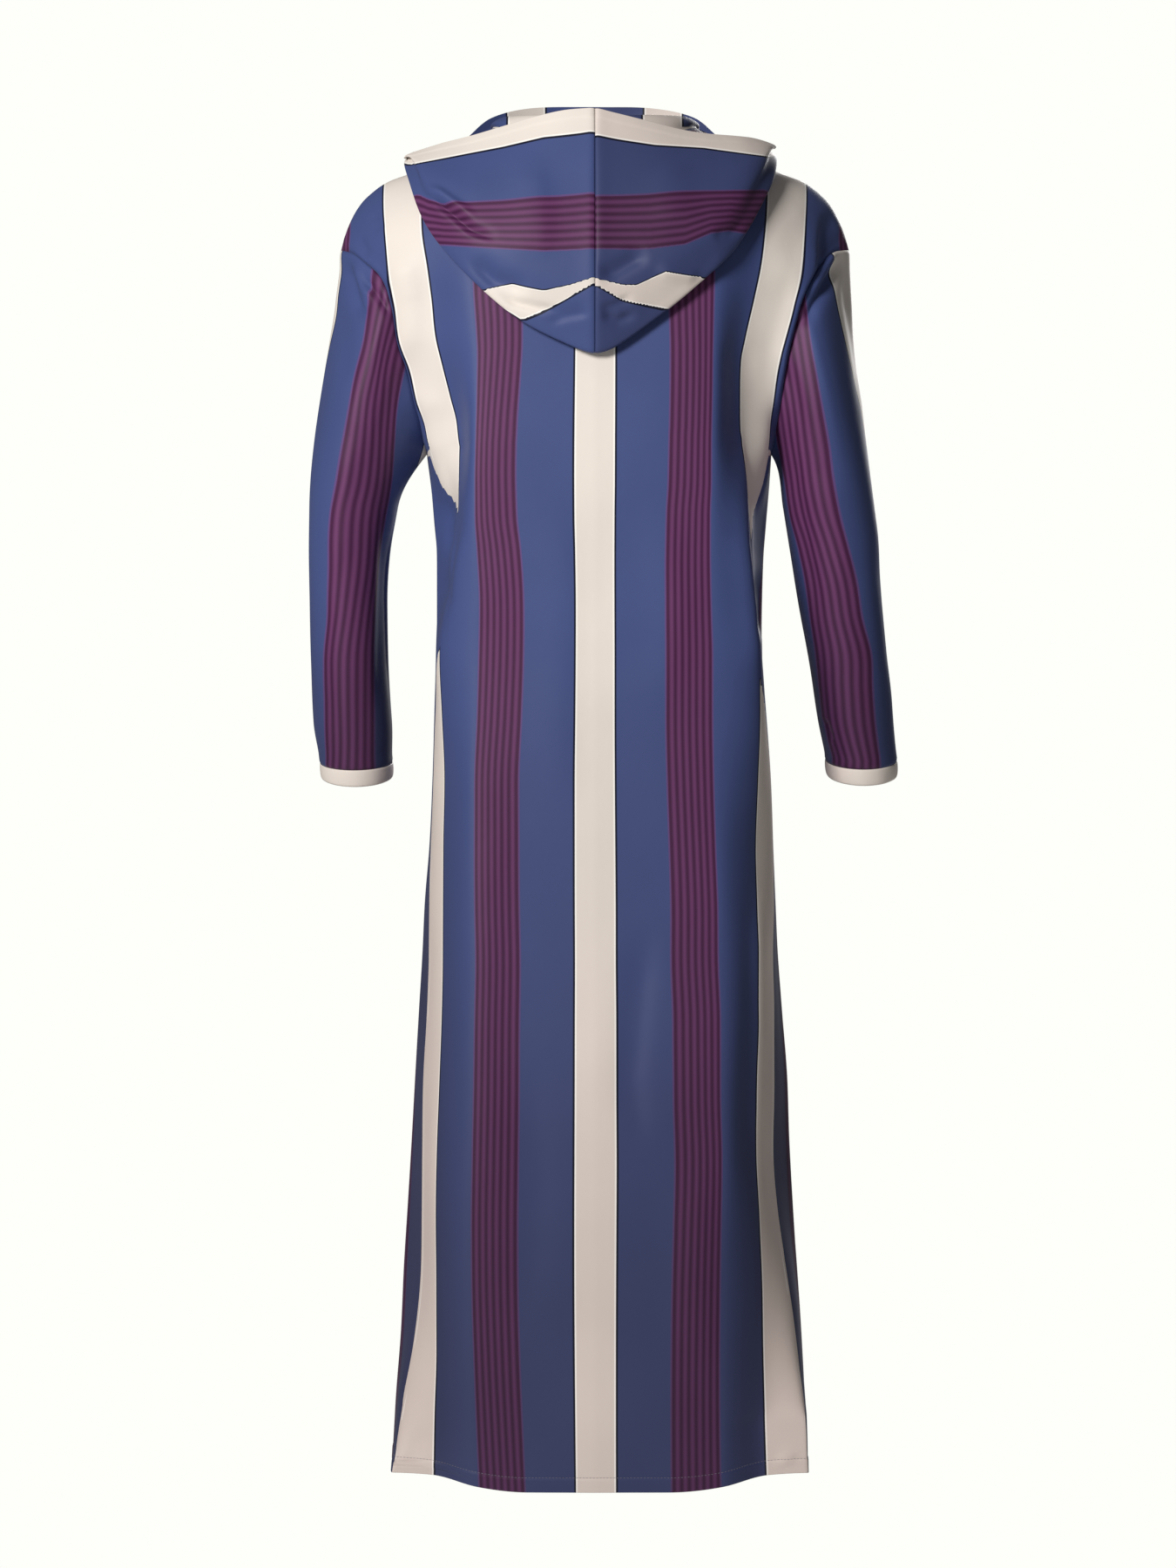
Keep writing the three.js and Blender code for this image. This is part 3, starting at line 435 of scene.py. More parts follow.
# ------------------------------------------------------------------ sleeves
RING = "z x y wide deep lean"
SLEEVE = {
    "left": table(RING, [
        (-616, 247.5, -32, 36.3, 39, 0.30), (-602.5, 248.2, -29, 36.8, 41, 0.21),
        (-560, 251.5, -21, 40.3, 44, 0.20), (-500, 254, -11, 39.8, 46, 0.16),
        (-440, 254.6, -2, 39.8, 49, 0.08), (-385, 253.0, 5, 41.6, 54, 0.0),
        (-340, 248.6, 8, 45, 60, -0.04),
    ]),
    "right": table(RING, [
        (-614, 278, -34, 36.0, 39, 0.32), (-600, 277, -31, 36.4, 41, 0.25),
        (-560, 271, -22, 38.7, 44, 0.20), (-500, 263.5, -11, 41, 46, 0.16),
        (-440, 254.5, -2, 43.6, 49, 0.08), (-385, 247.5, 5, 45.8, 54, 0.0),
        (-340, 240.9, 8, 46.6, 60, -0.04),
    ]),
}
SLEEVE_END = {"left": -602.5, "right": -600.0}
CUFF_END = {"left": -616.0, "right": -614.0}
SLEEVE_JOIN_Z = -340.0
SLEEVE_JOIN = 0.36     # share of the sleeve's rows above the first ring
JOIN_STEP = 10.0       # the way down at the first ring is taken over this much
LEAVE_OUT, LEAVE_LESS, LEAVE_DEEP, LEAVE_DOWN = 0.36, 0.3, 0.32, 0.85
ARMHOLE_FINE, ARMHOLE_CROWD = 400, 1.6
ROUND_COLUMNS = 141    # columns round a sleeve or a cuff


def ring_points(side, z, angle):
    """Points of the sleeve's rings: rows at heights z, columns at angles round the arm.

    x = middle + half width * cos, y = middle + half depth * sin, z = height - lean * y's part.
    """
    ring = {name: SLEEVE[side][name](z)[:, None] for name in RING.split()[1:]}
    y = ring["deep"] * np.sin(angle)
    x = ring["x"] + ring["wide"] * np.cos(angle)
    return np.stack([SIDE_SIGN[side] * x, ring["y"] + y, z[:, None] - ring["lean"] * y], -1)


def armhole(side, count):
    """Points and angles round the armhole, from the underarm up the front and down the back.

    The angle is half a turn times the share of the armhole's length, counted from the shoulder.
    """
    v = 1 - (1 - np.linspace(0, 1, ARMHOLE_FINE)) ** ARMHOLE_CROWD
    lines = {}
    for face in ("back", "front"):
        line = body_points(side, face, np.ones((len(v), 1)), v)[0][:, 0]
        run = np.concatenate([[0], np.cumsum(np.linalg.norm(np.diff(line, axis=0), axis=1))])
        lines[face] = (line, np.pi * run / run[-1])
    angles = np.linspace(-np.pi, np.pi, count)
    points = np.empty((count, 3))
    for k in range(3):
        front = np.interp(-angles, lines["front"][1], lines["front"][0][:, k])
        back = np.interp(angles, lines["back"][1], lines["back"][0][:, k])
        points[:, k] = np.where(angles < 0, front, back)
    return points, angles


def sleeve_points(side, start, angle, t):
    """Sleeve grid: rows at shares t of its length, columns round the arm from the underarm.

    Above the first ring each column is a Hermite cubic from the armhole to that ring, leaving
    outwards and down. Below it the columns follow the rings.
    """
    join = ring_points(side, np.array([SLEEVE_JOIN_Z]), angle)[0]
    below = ring_points(side, np.array([SLEEVE_JOIN_Z - JOIN_STEP]), angle)[0] - join
    below /= np.linalg.norm(below, axis=1)[:, None]
    span = np.linalg.norm(join - start, axis=1)[:, None]
    spread = LEAVE_OUT - LEAVE_LESS * np.cos(angle)
    leave = np.stack([SIDE_SIGN[side] * spread, LEAVE_DEEP * np.sin(angle), 0 * angle - LEAVE_DOWN], -1)
    leave /= np.linalg.norm(leave, axis=1)[:, None]
    f = np.clip(t / SLEEVE_JOIN, 0, 1)[:, None, None]
    upper = ((2 * f**3 - 3 * f**2 + 1) * start + (f**3 - 2 * f**2 + f) * span * leave
             + (3 * f**2 - 2 * f**3) * join + (f**3 - f**2) * span * below)
    lower_share = np.clip((t - SLEEVE_JOIN) / (1 - SLEEVE_JOIN), 0, 1)
    z = SLEEVE_JOIN_Z + (SLEEVE_END[side] - SLEEVE_JOIN_Z) * lower_share
    lower = ring_points(side, z, angle)
    return np.where((t > SLEEVE_JOIN)[:, None, None], lower, upper)


# ------------------------------------------------------------------ folds
EYE_AWAY, EYE_X, EYE_Z = 4000.0, 7.2, -625.0
WAVES = 7
WAVE_WAYS = np.array([1.0, 0.6, 0.45])   # waves run mostly across, so their crests hang
SEEDS = {"back": 3, "front": 4, "left": 11, "right": 12, "cuff": 21, "hood": 31}


def seen(points):
    """Place (x, z) where points appear on the middle plane to an eye 4 m behind it.

    Place = eye + (point - eye) * distance of the eye / (that distance - the point's y).
    """
    eye = np.array([EYE_X, EYE_Z])
    return eye + (points[..., [0, 2]] - eye) * EYE_AWAY / (EYE_AWAY - points[..., 1:2])


def path_distance(places, path):
    """Distance of 2-D places to a path, signed to its left, and the share run along it.

    The nearest of the path's legs counts, at the foot of the perpendicular or at a leg's end.
    """
    path = np.array(path, float)
    legs = np.diff(path, axis=0)
    lengths = np.linalg.norm(legs, axis=1)
    run = np.concatenate([[0], np.cumsum(lengths)])
    best = np.full(places.shape[:-1], 1e9)
    signed, share = best.copy(), 0 * best
    for start, leg, length, before in zip(path, legs, lengths, run):
        away = places - start
        t = np.clip((away @ leg) / length**2, 0, 1)
        distance = np.linalg.norm(away - t[..., None] * leg, axis=-1)
        side = np.sign(leg[0] * away[..., 1] - leg[1] * away[..., 0])
        closer = distance < best
        best = np.where(closer, distance, best)
        signed = np.where(closer, side * distance, signed)
        share = np.where(closer, (before + t * length) / run[-1], share)
    return signed, share


def relief(places, folds, taper=0.3):
    """Height of soft folds. Each has a path, a reach to its left and its right, and a rise.

    Height = rise * exp(-(distance / reach)^2), faded over a taper at both ends of the path.
    """
    height = np.zeros(places.shape[:-1])
    for path, left, right, rise in folds:
        distance, share = path_distance(places, path)
        reach = np.where(distance > 0, left, right)
        ends = smooth(share, 0, taper) * smooth(1 - share, 0, taper)
        height += rise * np.exp(-(distance / reach) ** 2) * ends
    return height


def run_along(points, axis):
    """Length of cloth from the first row or column to each point: the sum of the steps to it."""
    steps = np.linalg.norm(np.diff(points, axis=axis), axis=-1)
    start = np.zeros_like(np.take(steps, [0], axis))
    return np.concatenate([start, np.cumsum(steps, axis)], axis)


def seam_roll(distance, height=0.9, width=4.5):
    """Roll of the cloth beside a seam, where its turnings lie underneath.

    Height = height * r * exp(1 - r), with r the distance over the width: nothing at the seam.
    """
    r = distance / width
    return height * r * np.exp(1 - r)


def surface_normals(points, outwards):
    """Unit normals of a grid: the cross product of across and down, times outwards (+1 or -1)."""
    across = np.gradient(points, axis=1)
    down = np.gradient(points, axis=0)
    normal = np.cross(across, down) * outwards
    return normal / np.maximum(np.linalg.norm(normal, axis=-1), 1e-9)[..., None]


def ripple(points, seed, scale, height):
    """Slow uneven waviness of worn cloth: the mean of a few seeded sines of a point's place."""
    rng = np.random.default_rng(seed)
    total = np.zeros(points.shape[:-1])
    for _ in range(WAVES):
        way = rng.normal(size=3) * WAVE_WAYS / scale
        total += np.sin(points @ way + rng.uniform(0, 2 * np.pi))
    return height * total / WAVES


# ------------------------------------------------------------------ meshes
def add_mesh(name, vertices, quads, material):
    """A smooth-shaded object from vertices in millimetres and four-cornered faces."""
    mesh = bpy.data.meshes.new(name)
    mesh.vertices.add(len(vertices))
    mesh.vertices.foreach_set("co", (vertices * MM).ravel())
    mesh.loops.add(quads.size)
    mesh.loops.foreach_set("vertex_index", quads.ravel())
    mesh.polygons.add(len(quads))
    mesh.polygons.foreach_set("loop_start", np.arange(0, quads.size, 4))
    mesh.update(calc_edges=True)
    mesh.polygons.foreach_set("use_smooth", np.ones(len(quads), bool))
    mesh.materials.append(material)
    thing = bpy.data.objects.new(name, mesh)
    bpy.context.scene.collection.objects.link(thing)
    return thing


def cloth_piece(name, points, print_uv, deep, nodes, outwards, material, thickness=CLOTH):
    """A sheet of cloth on a grid of points.

    Its UV map holds the place in the flat print, and its attribute deep how much painted shade darkens
    the print there.
    """
    rows, cols = points.shape[:2]
    index = np.arange(rows * cols).reshape(rows, cols)
    quads = np.stack([index[:-1, :-1], index[:-1, 1:], index[1:, 1:], index[1:, :-1]], -1)
    quads = quads.reshape(-1, 4)
    if outwards < 0:
        quads = quads[:, ::-1]
    piece = add_mesh(name, points.reshape(-1, 3), quads, material)
    mesh = piece.data
    layer = mesh.uv_layers.new(name="print")
    layer.data.foreach_set("uv", (print_uv.reshape(-1, 2)[quads.ravel()] * MM).ravel())
    # The attribute deep holds painted shade: how far each colour turns to its darker copy.
    dye_and_painted_shade = mesh.attributes.new("deep", "FLOAT", "POINT")
    dye_and_painted_shade.data.foreach_set("value", np.clip(deep, 0, 1).ravel())
    wall = piece.modifiers.new("cloth", "SOLIDIFY")
    wall.thickness = thickness * MM
    wall.offset = 0
    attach(piece, "root")
    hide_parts(*nodes)
    return piece


# ------------------------------------------------------------------ materials
def srgb(red, green, blue):
    """A shade given in display values 0 to 255, as linear light."""
    values = np.array([red, green, blue]) / 255
    linear = np.where(values <= 0.04045, values / 12.92, ((values + 0.055) / 1.055) ** 2.4)
    return (*linear, 1.0)


def put(node, **values):
    """Sets a node's inputs by name, with _ where the name has a space."""
    for name, value in values.items():
        node.inputs[name.replace("_", " ")].default_value = value


# Each print colour has its shade at the top of the robe and a darker copy for painted shade, mixed in
# towards the hem and the cuffs.
CREAM = srgb(230, 220, 211), srgb(204, 189, 182)
BLUE = srgb(66, 79, 128), srgb(49, 53, 85)
NAVY = srgb(14, 17, 40), srgb(12, 13, 28)
WHITE = srgb(250, 246, 240), srgb(232, 224, 220)
LILAC = srgb(96, 72, 124), srgb(66, 48, 84)
PURPLE_LIGHT = srgb(106, 57, 101), srgb(74, 38, 74)
PURPLE_DARK = srgb(68, 28, 64), srgb(46, 20, 46)
THREAD = srgb(128, 122, 136)
THREAD_DARK = tuple(0.7 * value for value in THREAD[:3]) + (1.0,)
FIRST, SECOND, MIXED = 6, 7, 2   # the colour sockets of a Mix node
# Widths in metres: the soft edge of a stripe, and of the purple.
EDGE_SOFT, PURPLE_SOFT = 0.0003, 0.0006
# Uneven colour: patches to a metre, how fine, and the span of the shade.
SHADE_SCALE, SHADE_DETAIL, SHADE_FROM, SHADE_TO = 5.0, 2.0, 0.93, 1.06
# Bumps: size to a metre, how fine, strength and height in metres.
THREADS = dict(scale=1100.0, detail=2.0, strength=0.12, distance=0.0002)
PUCKERS = dict(scale=26.0, detail=3.0, strength=0.3, distance=0.0016)
TWIST_SCALE, TWIST_DETAIL, TWIST_STRENGTH, TWIST_HEIGHT = 2500.0, 1.0, 0.4, 0.0002


class Nodes:
    """Small helper that adds and links shader nodes."""

    def __init__(self, name):
        """A new material of this name, with its own shader."""
        self.material = bpy.data.materials.new(name)
        self.material.use_nodes = True
        self.tree = self.material.node_tree
        self.shader = self.tree.nodes["Principled BSDF"]

    def add(self, kind, **settings):
        """A new node of a kind, with its settings."""
        node = self.tree.nodes.new(kind)
        for key, value in settings.items():
            setattr(node, key, value)
        return node

    def feed(self, socket, value):
        """Links a socket to value, or sets it."""
        if isinstance(value, bpy.types.NodeSocket):
            self.tree.links.new(value, socket)
        else:
            socket.default_value = value

    def math(self, operation, a, b=0.0, c=0.0):
        """The result of an operation on up to three values."""
        node = self.add("ShaderNodeMath", operation=operation)
        for socket, value in zip(node.inputs, (a, b, c)):
            self.feed(socket, value)
        return node.outputs[0]

    def mix(self, share, first, second, blend="MIX"):
        """The first colour, turned to the second by share."""
        node = self.add("ShaderNodeMix", data_type="RGBA", blend_type=blend)
        self.feed(node.inputs["Factor"], share)
        self.feed(node.inputs[FIRST], first)
        self.feed(node.inputs[SECOND], second)
        return node.outputs[MIXED]

    def band(self, value, low, high, soft):
        """1 between low and high of value: a rising and a falling smoothstep, multiplied."""
        edges = []
        for edge, before, after in ((low, 0.0, 1.0), (high, 1.0, 0.0)):
            node = self.add("ShaderNodeMapRange", interpolation_type="SMOOTHSTEP")
            self.feed(node.inputs["Value"], value)
            put(node, From_Min=edge - soft, From_Max=edge + soft, To_Min=before, To_Max=after)
            edges.append(node.outputs[0])
        return self.math("MULTIPLY", *edges)

    def noise(self, place, scale, detail):
        """Noise at a place given in metres."""
        node = self.add("ShaderNodeTexNoise", noise_dimensions="3D")
        self.feed(node.inputs["Vector"], place)
        put(node, Scale=scale, Detail=detail)
        return node.outputs["Fac"]

    def noise_bump(self, place, scale, detail, strength, distance, normal=None):
        """A normal bumped by noise."""
        return self.bump(self.noise(place, scale, detail), strength, distance, normal)

    def bump(self, height, strength, distance, normal=None):
        """A bumped normal, laid over an earlier one."""
        node = self.add("ShaderNodeBump")
        put(node, Strength=strength, Distance=distance)
        self.feed(node.inputs["Height"], height)
        if normal is not None:
            self.feed(node.inputs["Normal"], normal)
        return node.outputs["Normal"]


def cloth_surface(nodes, colour):
    """Smooth printed polyester: fine threads, faint puckers, uneven colour and a soft gloss.

    Colour = the given colour, painted shade included, * a shade that follows slow noise. The puckers'
    bump is laid over the threads'.
    """
    place = nodes.add("ShaderNodeTexCoord").outputs["Object"]
    shade = nodes.add("ShaderNodeMapRange")
    nodes.feed(shade.inputs["Value"], nodes.noise(place, SHADE_SCALE, SHADE_DETAIL))
    put(shade, From_Min=0.3, From_Max=0.7, To_Min=SHADE_FROM, To_Max=SHADE_TO)
    tone = nodes.mix(1.0, colour, shade.outputs[0], blend="MULTIPLY")
    nodes.feed(nodes.shader.inputs["Base Color"], tone)
    threads = nodes.noise_bump(place, **THREADS)
    puckers = nodes.noise_bump(place, **PUCKERS, normal=threads)
    nodes.feed(nodes.shader.inputs["Normal"], puckers)
    put(nodes.shader, Roughness=0.55, Specular_IOR_Level=0.24, Sheen_Weight=0.04, Sheen_Roughness=0.4)
    return nodes.material


def striped_cloth():
    """The print: cream, blue and purple stripes, purple of fine bars, read across the UV map.

    The distance to the nearest cream middle is the UV folded back over half a repeat. Bars are
    a cosine of the distance from the purple's middle, a bar and its gap to each turn.
    """
    nodes = Nodes("striped_cloth")
    uv = nodes.add("ShaderNodeUVMap", uv_map="print").outputs["UV"]
    split = nodes.add("ShaderNodeSeparateXYZ")
    nodes.feed(split.inputs[0], uv)
    deep = nodes.add("ShaderNodeAttribute", attribute_name="deep").outputs["Fac"]
    half = REPEAT * MM / 2
    across = nodes.math("PINGPONG", split.outputs["X"], half)
    to_purple = nodes.math("SUBTRACT", half, across)
    wave = nodes.math("COSINE", nodes.math("MULTIPLY", to_purple, 2 * math.pi / (BAR_PITCH * MM)))
    bars = nodes.math("MULTIPLY_ADD", wave, -0.5, 0.5)
    # Each colour is mixed towards its painted-shade copy by the attribute deep.
    purple = nodes.mix(bars, nodes.mix(deep, *PURPLE_DARK), nodes.mix(deep, *PURPLE_LIGHT))
    blue = nodes.mix(deep, *BLUE)
    cream = nodes.mix(deep, *CREAM)
    in_blue = nodes.band(across, CREAM_HALF * MM, BLUE_END * MM, EDGE_SOFT)
    in_purple = nodes.band(across, BLUE_END * MM, 1.0, PURPLE_SOFT)
    colour = nodes.mix(in_purple, nodes.mix(in_blue, cream, blue), purple)
    lines = [(CREAM_HALF - WHITE_WIDE, CREAM_HALF, WHITE), (CREAM_HALF, CREAM_HALF + NAVY_WIDE, NAVY),
             (BLUE_END + LILAC_FROM, BLUE_END + LILAC_TO, LILAC)]
    # The fine lines also turn to their painted-shade copies by deep.
    for low, high, dye_and_painted_shade in lines:
        ink = nodes.mix(deep, *dye_and_painted_shade)
        colour = nodes.mix(nodes.band(across, low * MM, high * MM, EDGE_SOFT), colour, ink)
    return cloth_surface(nodes, colour)


def cream_cloth():
    """The cream stripe on its own, for the cuffs."""
    nodes = Nodes("cream_cloth")
    deep = nodes.add("ShaderNodeAttribute", attribute_name="deep").outputs["Fac"]
    # The cream turns to its painted-shade copy by the attribute deep.
    return cloth_surface(nodes, nodes.mix(deep, *CREAM))


def thread():
    """Twisted sewing thread: fine bumps, a colour that follows them and a dull gloss."""
    nodes = Nodes("thread")
    place = nodes.add("ShaderNodeTexCoord").outputs["Object"]
    twist = nodes.noise(place, TWIST_SCALE, TWIST_DETAIL)
    nodes.feed(nodes.shader.inputs["Base Color"], nodes.mix(twist, THREAD, THREAD_DARK))
    nodes.feed(nodes.shader.inputs["Normal"], nodes.bump(twist, TWIST_STRENGTH, TWIST_HEIGHT))
    put(nodes.shader, Roughness=0.65)
    return nodes.material


STRIPED = striped_cloth()
PLAIN_CREAM = cream_cloth()
STITCHING = thread()


# ------------------------------------------------------------------ body panels
PANEL_HALF_COLUMNS = 80
PANEL_ROWS_ABOVE, PANEL_ROWS_BELOW, HEM_ROWS = 96, 142, 24
HEM_LEVELS = 0.021  # share of the skirt that the finely divided hem takes
HEM_TURN = 14.5     # the single fold of the hem, held by one line of stitches
HEM_PROUD, HEM_STEP = 0.6, (-0.5, 2.5)   # the doubled cloth, and where it ends round the turn
HEM_GROOVE, GROOVE_HALF = 0.7, 1.3       # the groove under the stitches
FOLD_FADE = 7.0     # folds die out over this much cloth before a seam
SEAM_HELD = 2.0     # nothing moves the cloth within this much of a seam
ROWS_CROWD = 1.15   # crowds the upper rows towards the shoulder
NECK_SPREAD = 0.45  # the columns spread from the neck to the whole width by this level
PANEL_RIPPLE = 46.0, 0.7
# Painted shade, darkening the print: down the robe, and round its sides from a distance across and a
# height down.
PAINTED_SHADE_DOWN, PAINTED_SHADE_ACROSS, PAINTED_SHADE_SIDE_DOWN = (420, 1250), (120, 235), (300, 800)
PAINTED_SHADE_LOW, PAINTED_SHADE_SIDE = 0.8, 0.6

# Soft folds of the back, placed as seen from behind: the path of each, its reach to the left
# and the right of the way it runs, and its rise (a trough where negative).
BACK_FOLDS = [
    # right shoulder: the long edge beside the armhole, and two short pulls at the shoulder tip
    ([(-232, -28), (-228.5, -54), (-223, -91), (-217.5, -112), (-206, -152), (-201.5, -170),
      (-195, -211), (-188, -251)], 12.8, 3.4, 6.2),
    ([(-257, -55), (-247, -68), (-231, -85)], 5, 5, -2.3),
    ([(-245, -30), (-238, -60), (-232, -82)], 6.8, 6.8, -2.9),
    # left shoulder: short creases above the armhole
    ([(246, -58), (240, -69), (234, -84)], 4, 5, -2.3),
    ([(232, -34), (226, -45), (222, -56)], 4, 6, -1.7),
    ([(233, -84), (222, -100), (214, -116)], 7, 5, 2.3),
    # left side below the underarm: cloth laps over the end of the outer stripe
    ([(157, -272), (151, -318), (146, -359), (156, -397), (160, -450), (160, -490)], 5.1, 8.5,
     -4.3),
    ([(148, -352), (153, -390), (157, -420), (154, -455)], 3.4, 7.6, -4.2),
    # right side below the underarm: the edge of the lap, and the hollow behind it
    ([(-149, -240), (-151, -300), (-155, -380), (-161, -430), (-166, -470), (-169, -520)], 11.9,
     3.4, 4.6),
    ([(-166, -400), (-169, -440), (-171, -480)], 4.2, 5.1, -3.5),
    # broad hollows of the skirt
    ([(-56, -760), (-45, -860), (-38, -930), (-50, -1010)], 22.1, 13.6, -3.2),
    ([(-160, -700), (-163, -850), (-160, -960), (-163, -1080)], 13.6, 7.6, -3.8),
    ([(118, -560), (112, -700), (116, -900), (110, -1120)], 22, 22, 2),
    ([(52, -300), (30, -420), (40, -560), (24, -700)], 30, 22, 2.3),
    ([(-66, -330), (-84, -440), (-72, -560)], 24, 18, 1.9),
    ([(70, -900), (60, -1040), (74, -1200)], 26, 20, -1.9),
    ([(-110, -1000), (-104, -1130), (-112, -1270)], 22, 18, 1.7),
    # corners of the hem
    ([(-205, -1312), (-198, -1322), (-192, -1333)], 4.2, 3.4, 2.6),
    ([(178, -1290), (186, -1312), (190, -1330)], 10, 8, -1.7),
]
# Laps of the back below the underarms, which hide the outer stripe: the last place of the print
# that shows at each height. The stripe narrows to a point where a lap starts and where it ends.
LAP_EDGE = table("z left right", [
    (-1340, 217.5, 217.5), (-660, 217.5, 217.5), (-600, 217, 210), (-560, 212, 194),
    (-520, 196, 178), (-500, 186, 170), (-478, 172, 168), (-440, 168, 168), (-395, 168, 171),
    (-358, 172, 190), (-330, 205, 212), (-300, 217.5, 217.5),
])
LAP_PRINT = 166.0      # held here, in the blue
LAP_MIRROR = 383.5     # past the stripe's outer edge the print runs back from here
LAP_SOFT = 2.5         # half the width over which the print changes at a lap's edge
LAP_TOP = 285, 292     # the laps begin between these depths below z 0
# Folds of the front, placed straight on.
FRONT_FOLDS = [
    ([(228, -60), (221, -100), (208, -150), (196, -205), (188, -250)], 5, 14, 3.2),
    ([(-230, -55), (-222, -95), (-209, -150), (-198, -200), (-190, -246)], 14, 5, 3.0),
    ([(240, -58), (228, -74), (214, -90)], 5, 5, -1.6),
    ([(-242, -56), (-230, -75), (-217, -88)], 5, 5, -1.5),
    ([(150, -290), (146, -350), (154, -410), (160, -480)], 10, 6, -2.8),
    ([(-152, -285), (-150, -345), (-156, -420), (-164, -500)], 6, 10, -2.6),
    ([(58, -110), (44, -190), (54, -290)], 20, 16, 1.5),
    ([(-52, -120), (-66, -210), (-58, -300)], 18, 20, 1.4),
    ([(84, -480), (70, -620), (82, -780)], 26, 20, 1.6),
    ([(-78, -520), (-92, -680), (-80, -820)], 22, 24, 1.5),
    ([(30, -760), (18, -900), (30, -1060)], 26, 18, -1.9),
    ([(-120, -860), (-112, -1010), (-122, -1180)], 20, 16, -1.8),
    ([(122, -900), (130, -1060), (124, -1240)], 18, 22, -1.7),
]


def hem_relief(from_hem):
    """The turned hem: doubled cloth stands proud, with a groove under the stitches.

    Height = proud * (1 - smoothstep) - groove * exp(-((distance from the turn) / half width)^2).
    """
    beyond = from_hem - HEM_TURN
    groove = HEM_GROOVE * np.exp(-(beyond / GROOVE_HALF) ** 2)
    return HEM_PROUD * (1 - smooth(beyond, *HEM_STEP)) - groove


def lapped(points, across):
    """Place in the print on the back, held to the blue beyond the edge of a lap.

    Held = the lesser of LAP_PRINT and LAP_MIRROR - across.
    Place = across + (held - across) * smoothstep of how far across lies past the edge.
    """
    low = points[..., 2].ravel()
    left = LAP_EDGE["left"](low).reshape(across.shape)
    right = LAP_EDGE["right"](low).reshape(across.shape)
    away = np.abs(across)
    held = np.minimum(LAP_PRINT, LAP_MIRROR - away)
    past = smooth(away - np.where(across > 0, left, right), -LAP_SOFT, LAP_SOFT)
    past *= smooth(-low, *LAP_TOP).reshape(across.shape)
    return np.sign(across) * (away + (held - away) * past)


def panel(face):
    """Front or back panel: rows from the neck and shoulders to the hem.

    Point = body point + normal * (folds + ripple + seam roll + hem), held still at the seams.
    Returns the line of its hem stitches and the way out from the cloth along it.
    """
    skirt = np.linspace(1, 2 - HEM_LEVELS, PANEL_ROWS_BELOW + 1)[1:]
    hem = np.linspace(2 - HEM_LEVELS, 2, HEM_ROWS + 1)[1:]
    v = np.concatenate([np.linspace(0, 1, PANEL_ROWS_ABOVE) ** ROWS_CROWD, skirt, hem])
    half = np.linspace(0, 1, PANEL_HALF_COLUMNS)
    near = np.interp(half, [0, 0.5, 1], [0, neck_share(1.0), 1])
    spread = smooth(v, 0, NECK_SPREAD)[:, None]
    s = near * (1 - spread) + half * spread
    left, cut_left = body_points("left", face, s, v)
    right, cut_right = body_points("right", face, s, v)
    points = np.concatenate([right[:, :0:-1], left], 1)
    across = np.concatenate([-cut_right[:, :0:-1], cut_left], 1)
    outwards = FACE_SIGN[face]
    normal = surface_normals(points, outwards)
    from_right = run_along(points, 1)
    from_side = np.minimum(from_right, from_right[:, -1:] - from_right)
    from_top = run_along(points, 0)
    from_hem = from_top[-1] - from_top
    if face == "back":
        folds = relief(seen(points), BACK_FOLDS)
    else:
        folds = relief(points[..., [0, 2]], FRONT_FOLDS)
    folds += ripple(points, SEEDS[face], *PANEL_RIPPLE)
    edge = smooth(from_side, 0, FOLD_FADE) * smooth(from_top, 0, FOLD_FADE)
    height = folds * edge + seam_roll(from_side) + hem_relief(from_hem)
    held = smooth(from_side, 0, SEAM_HELD) * smooth(from_top, 0, SEAM_HELD)
    points = points + normal * (height * held)[..., None]
    low = points[..., 2]
    # Painted shade: darker towards the hem, and round the sides from the stripe outwards.
    side = smooth(np.abs(across), *PAINTED_SHADE_ACROSS) * smooth(-low, *PAINTED_SHADE_SIDE_DOWN)
    deep = PAINTED_SHADE_LOW * smooth(-low, *PAINTED_SHADE_DOWN) + PAINTED_SHADE_SIDE * side
    place = lapped(points, across) if face == "back" else across
    uv = np.stack([place, low], -1)
    piece = cloth_piece(f"{face}_panel", points, uv, deep, [face], outwards,
                        STRIPED)
    row = np.argmin(np.abs(from_hem[:, PANEL_HALF_COLUMNS] - HEM_TURN))
    return points[row], surface_normals(points, outwards)[row]


STITCH_PITCH, STITCH_LONG, STITCH_THICK = 3.4, 2.5, 0.45
STITCH_OUT = 0.2       # a stitch's middle stands off the cloth by this share of its thickness
STITCH_RINGS = np.array([(-1.0, 0.4), (0.0, 1.0), (1.0, 0.4)])   # share along, share of radius
RING_CORNERS = 6
CAP = [0, 1, 2, 3], [0, 3, 4, 5]   # the two four-cornered faces that close a ring


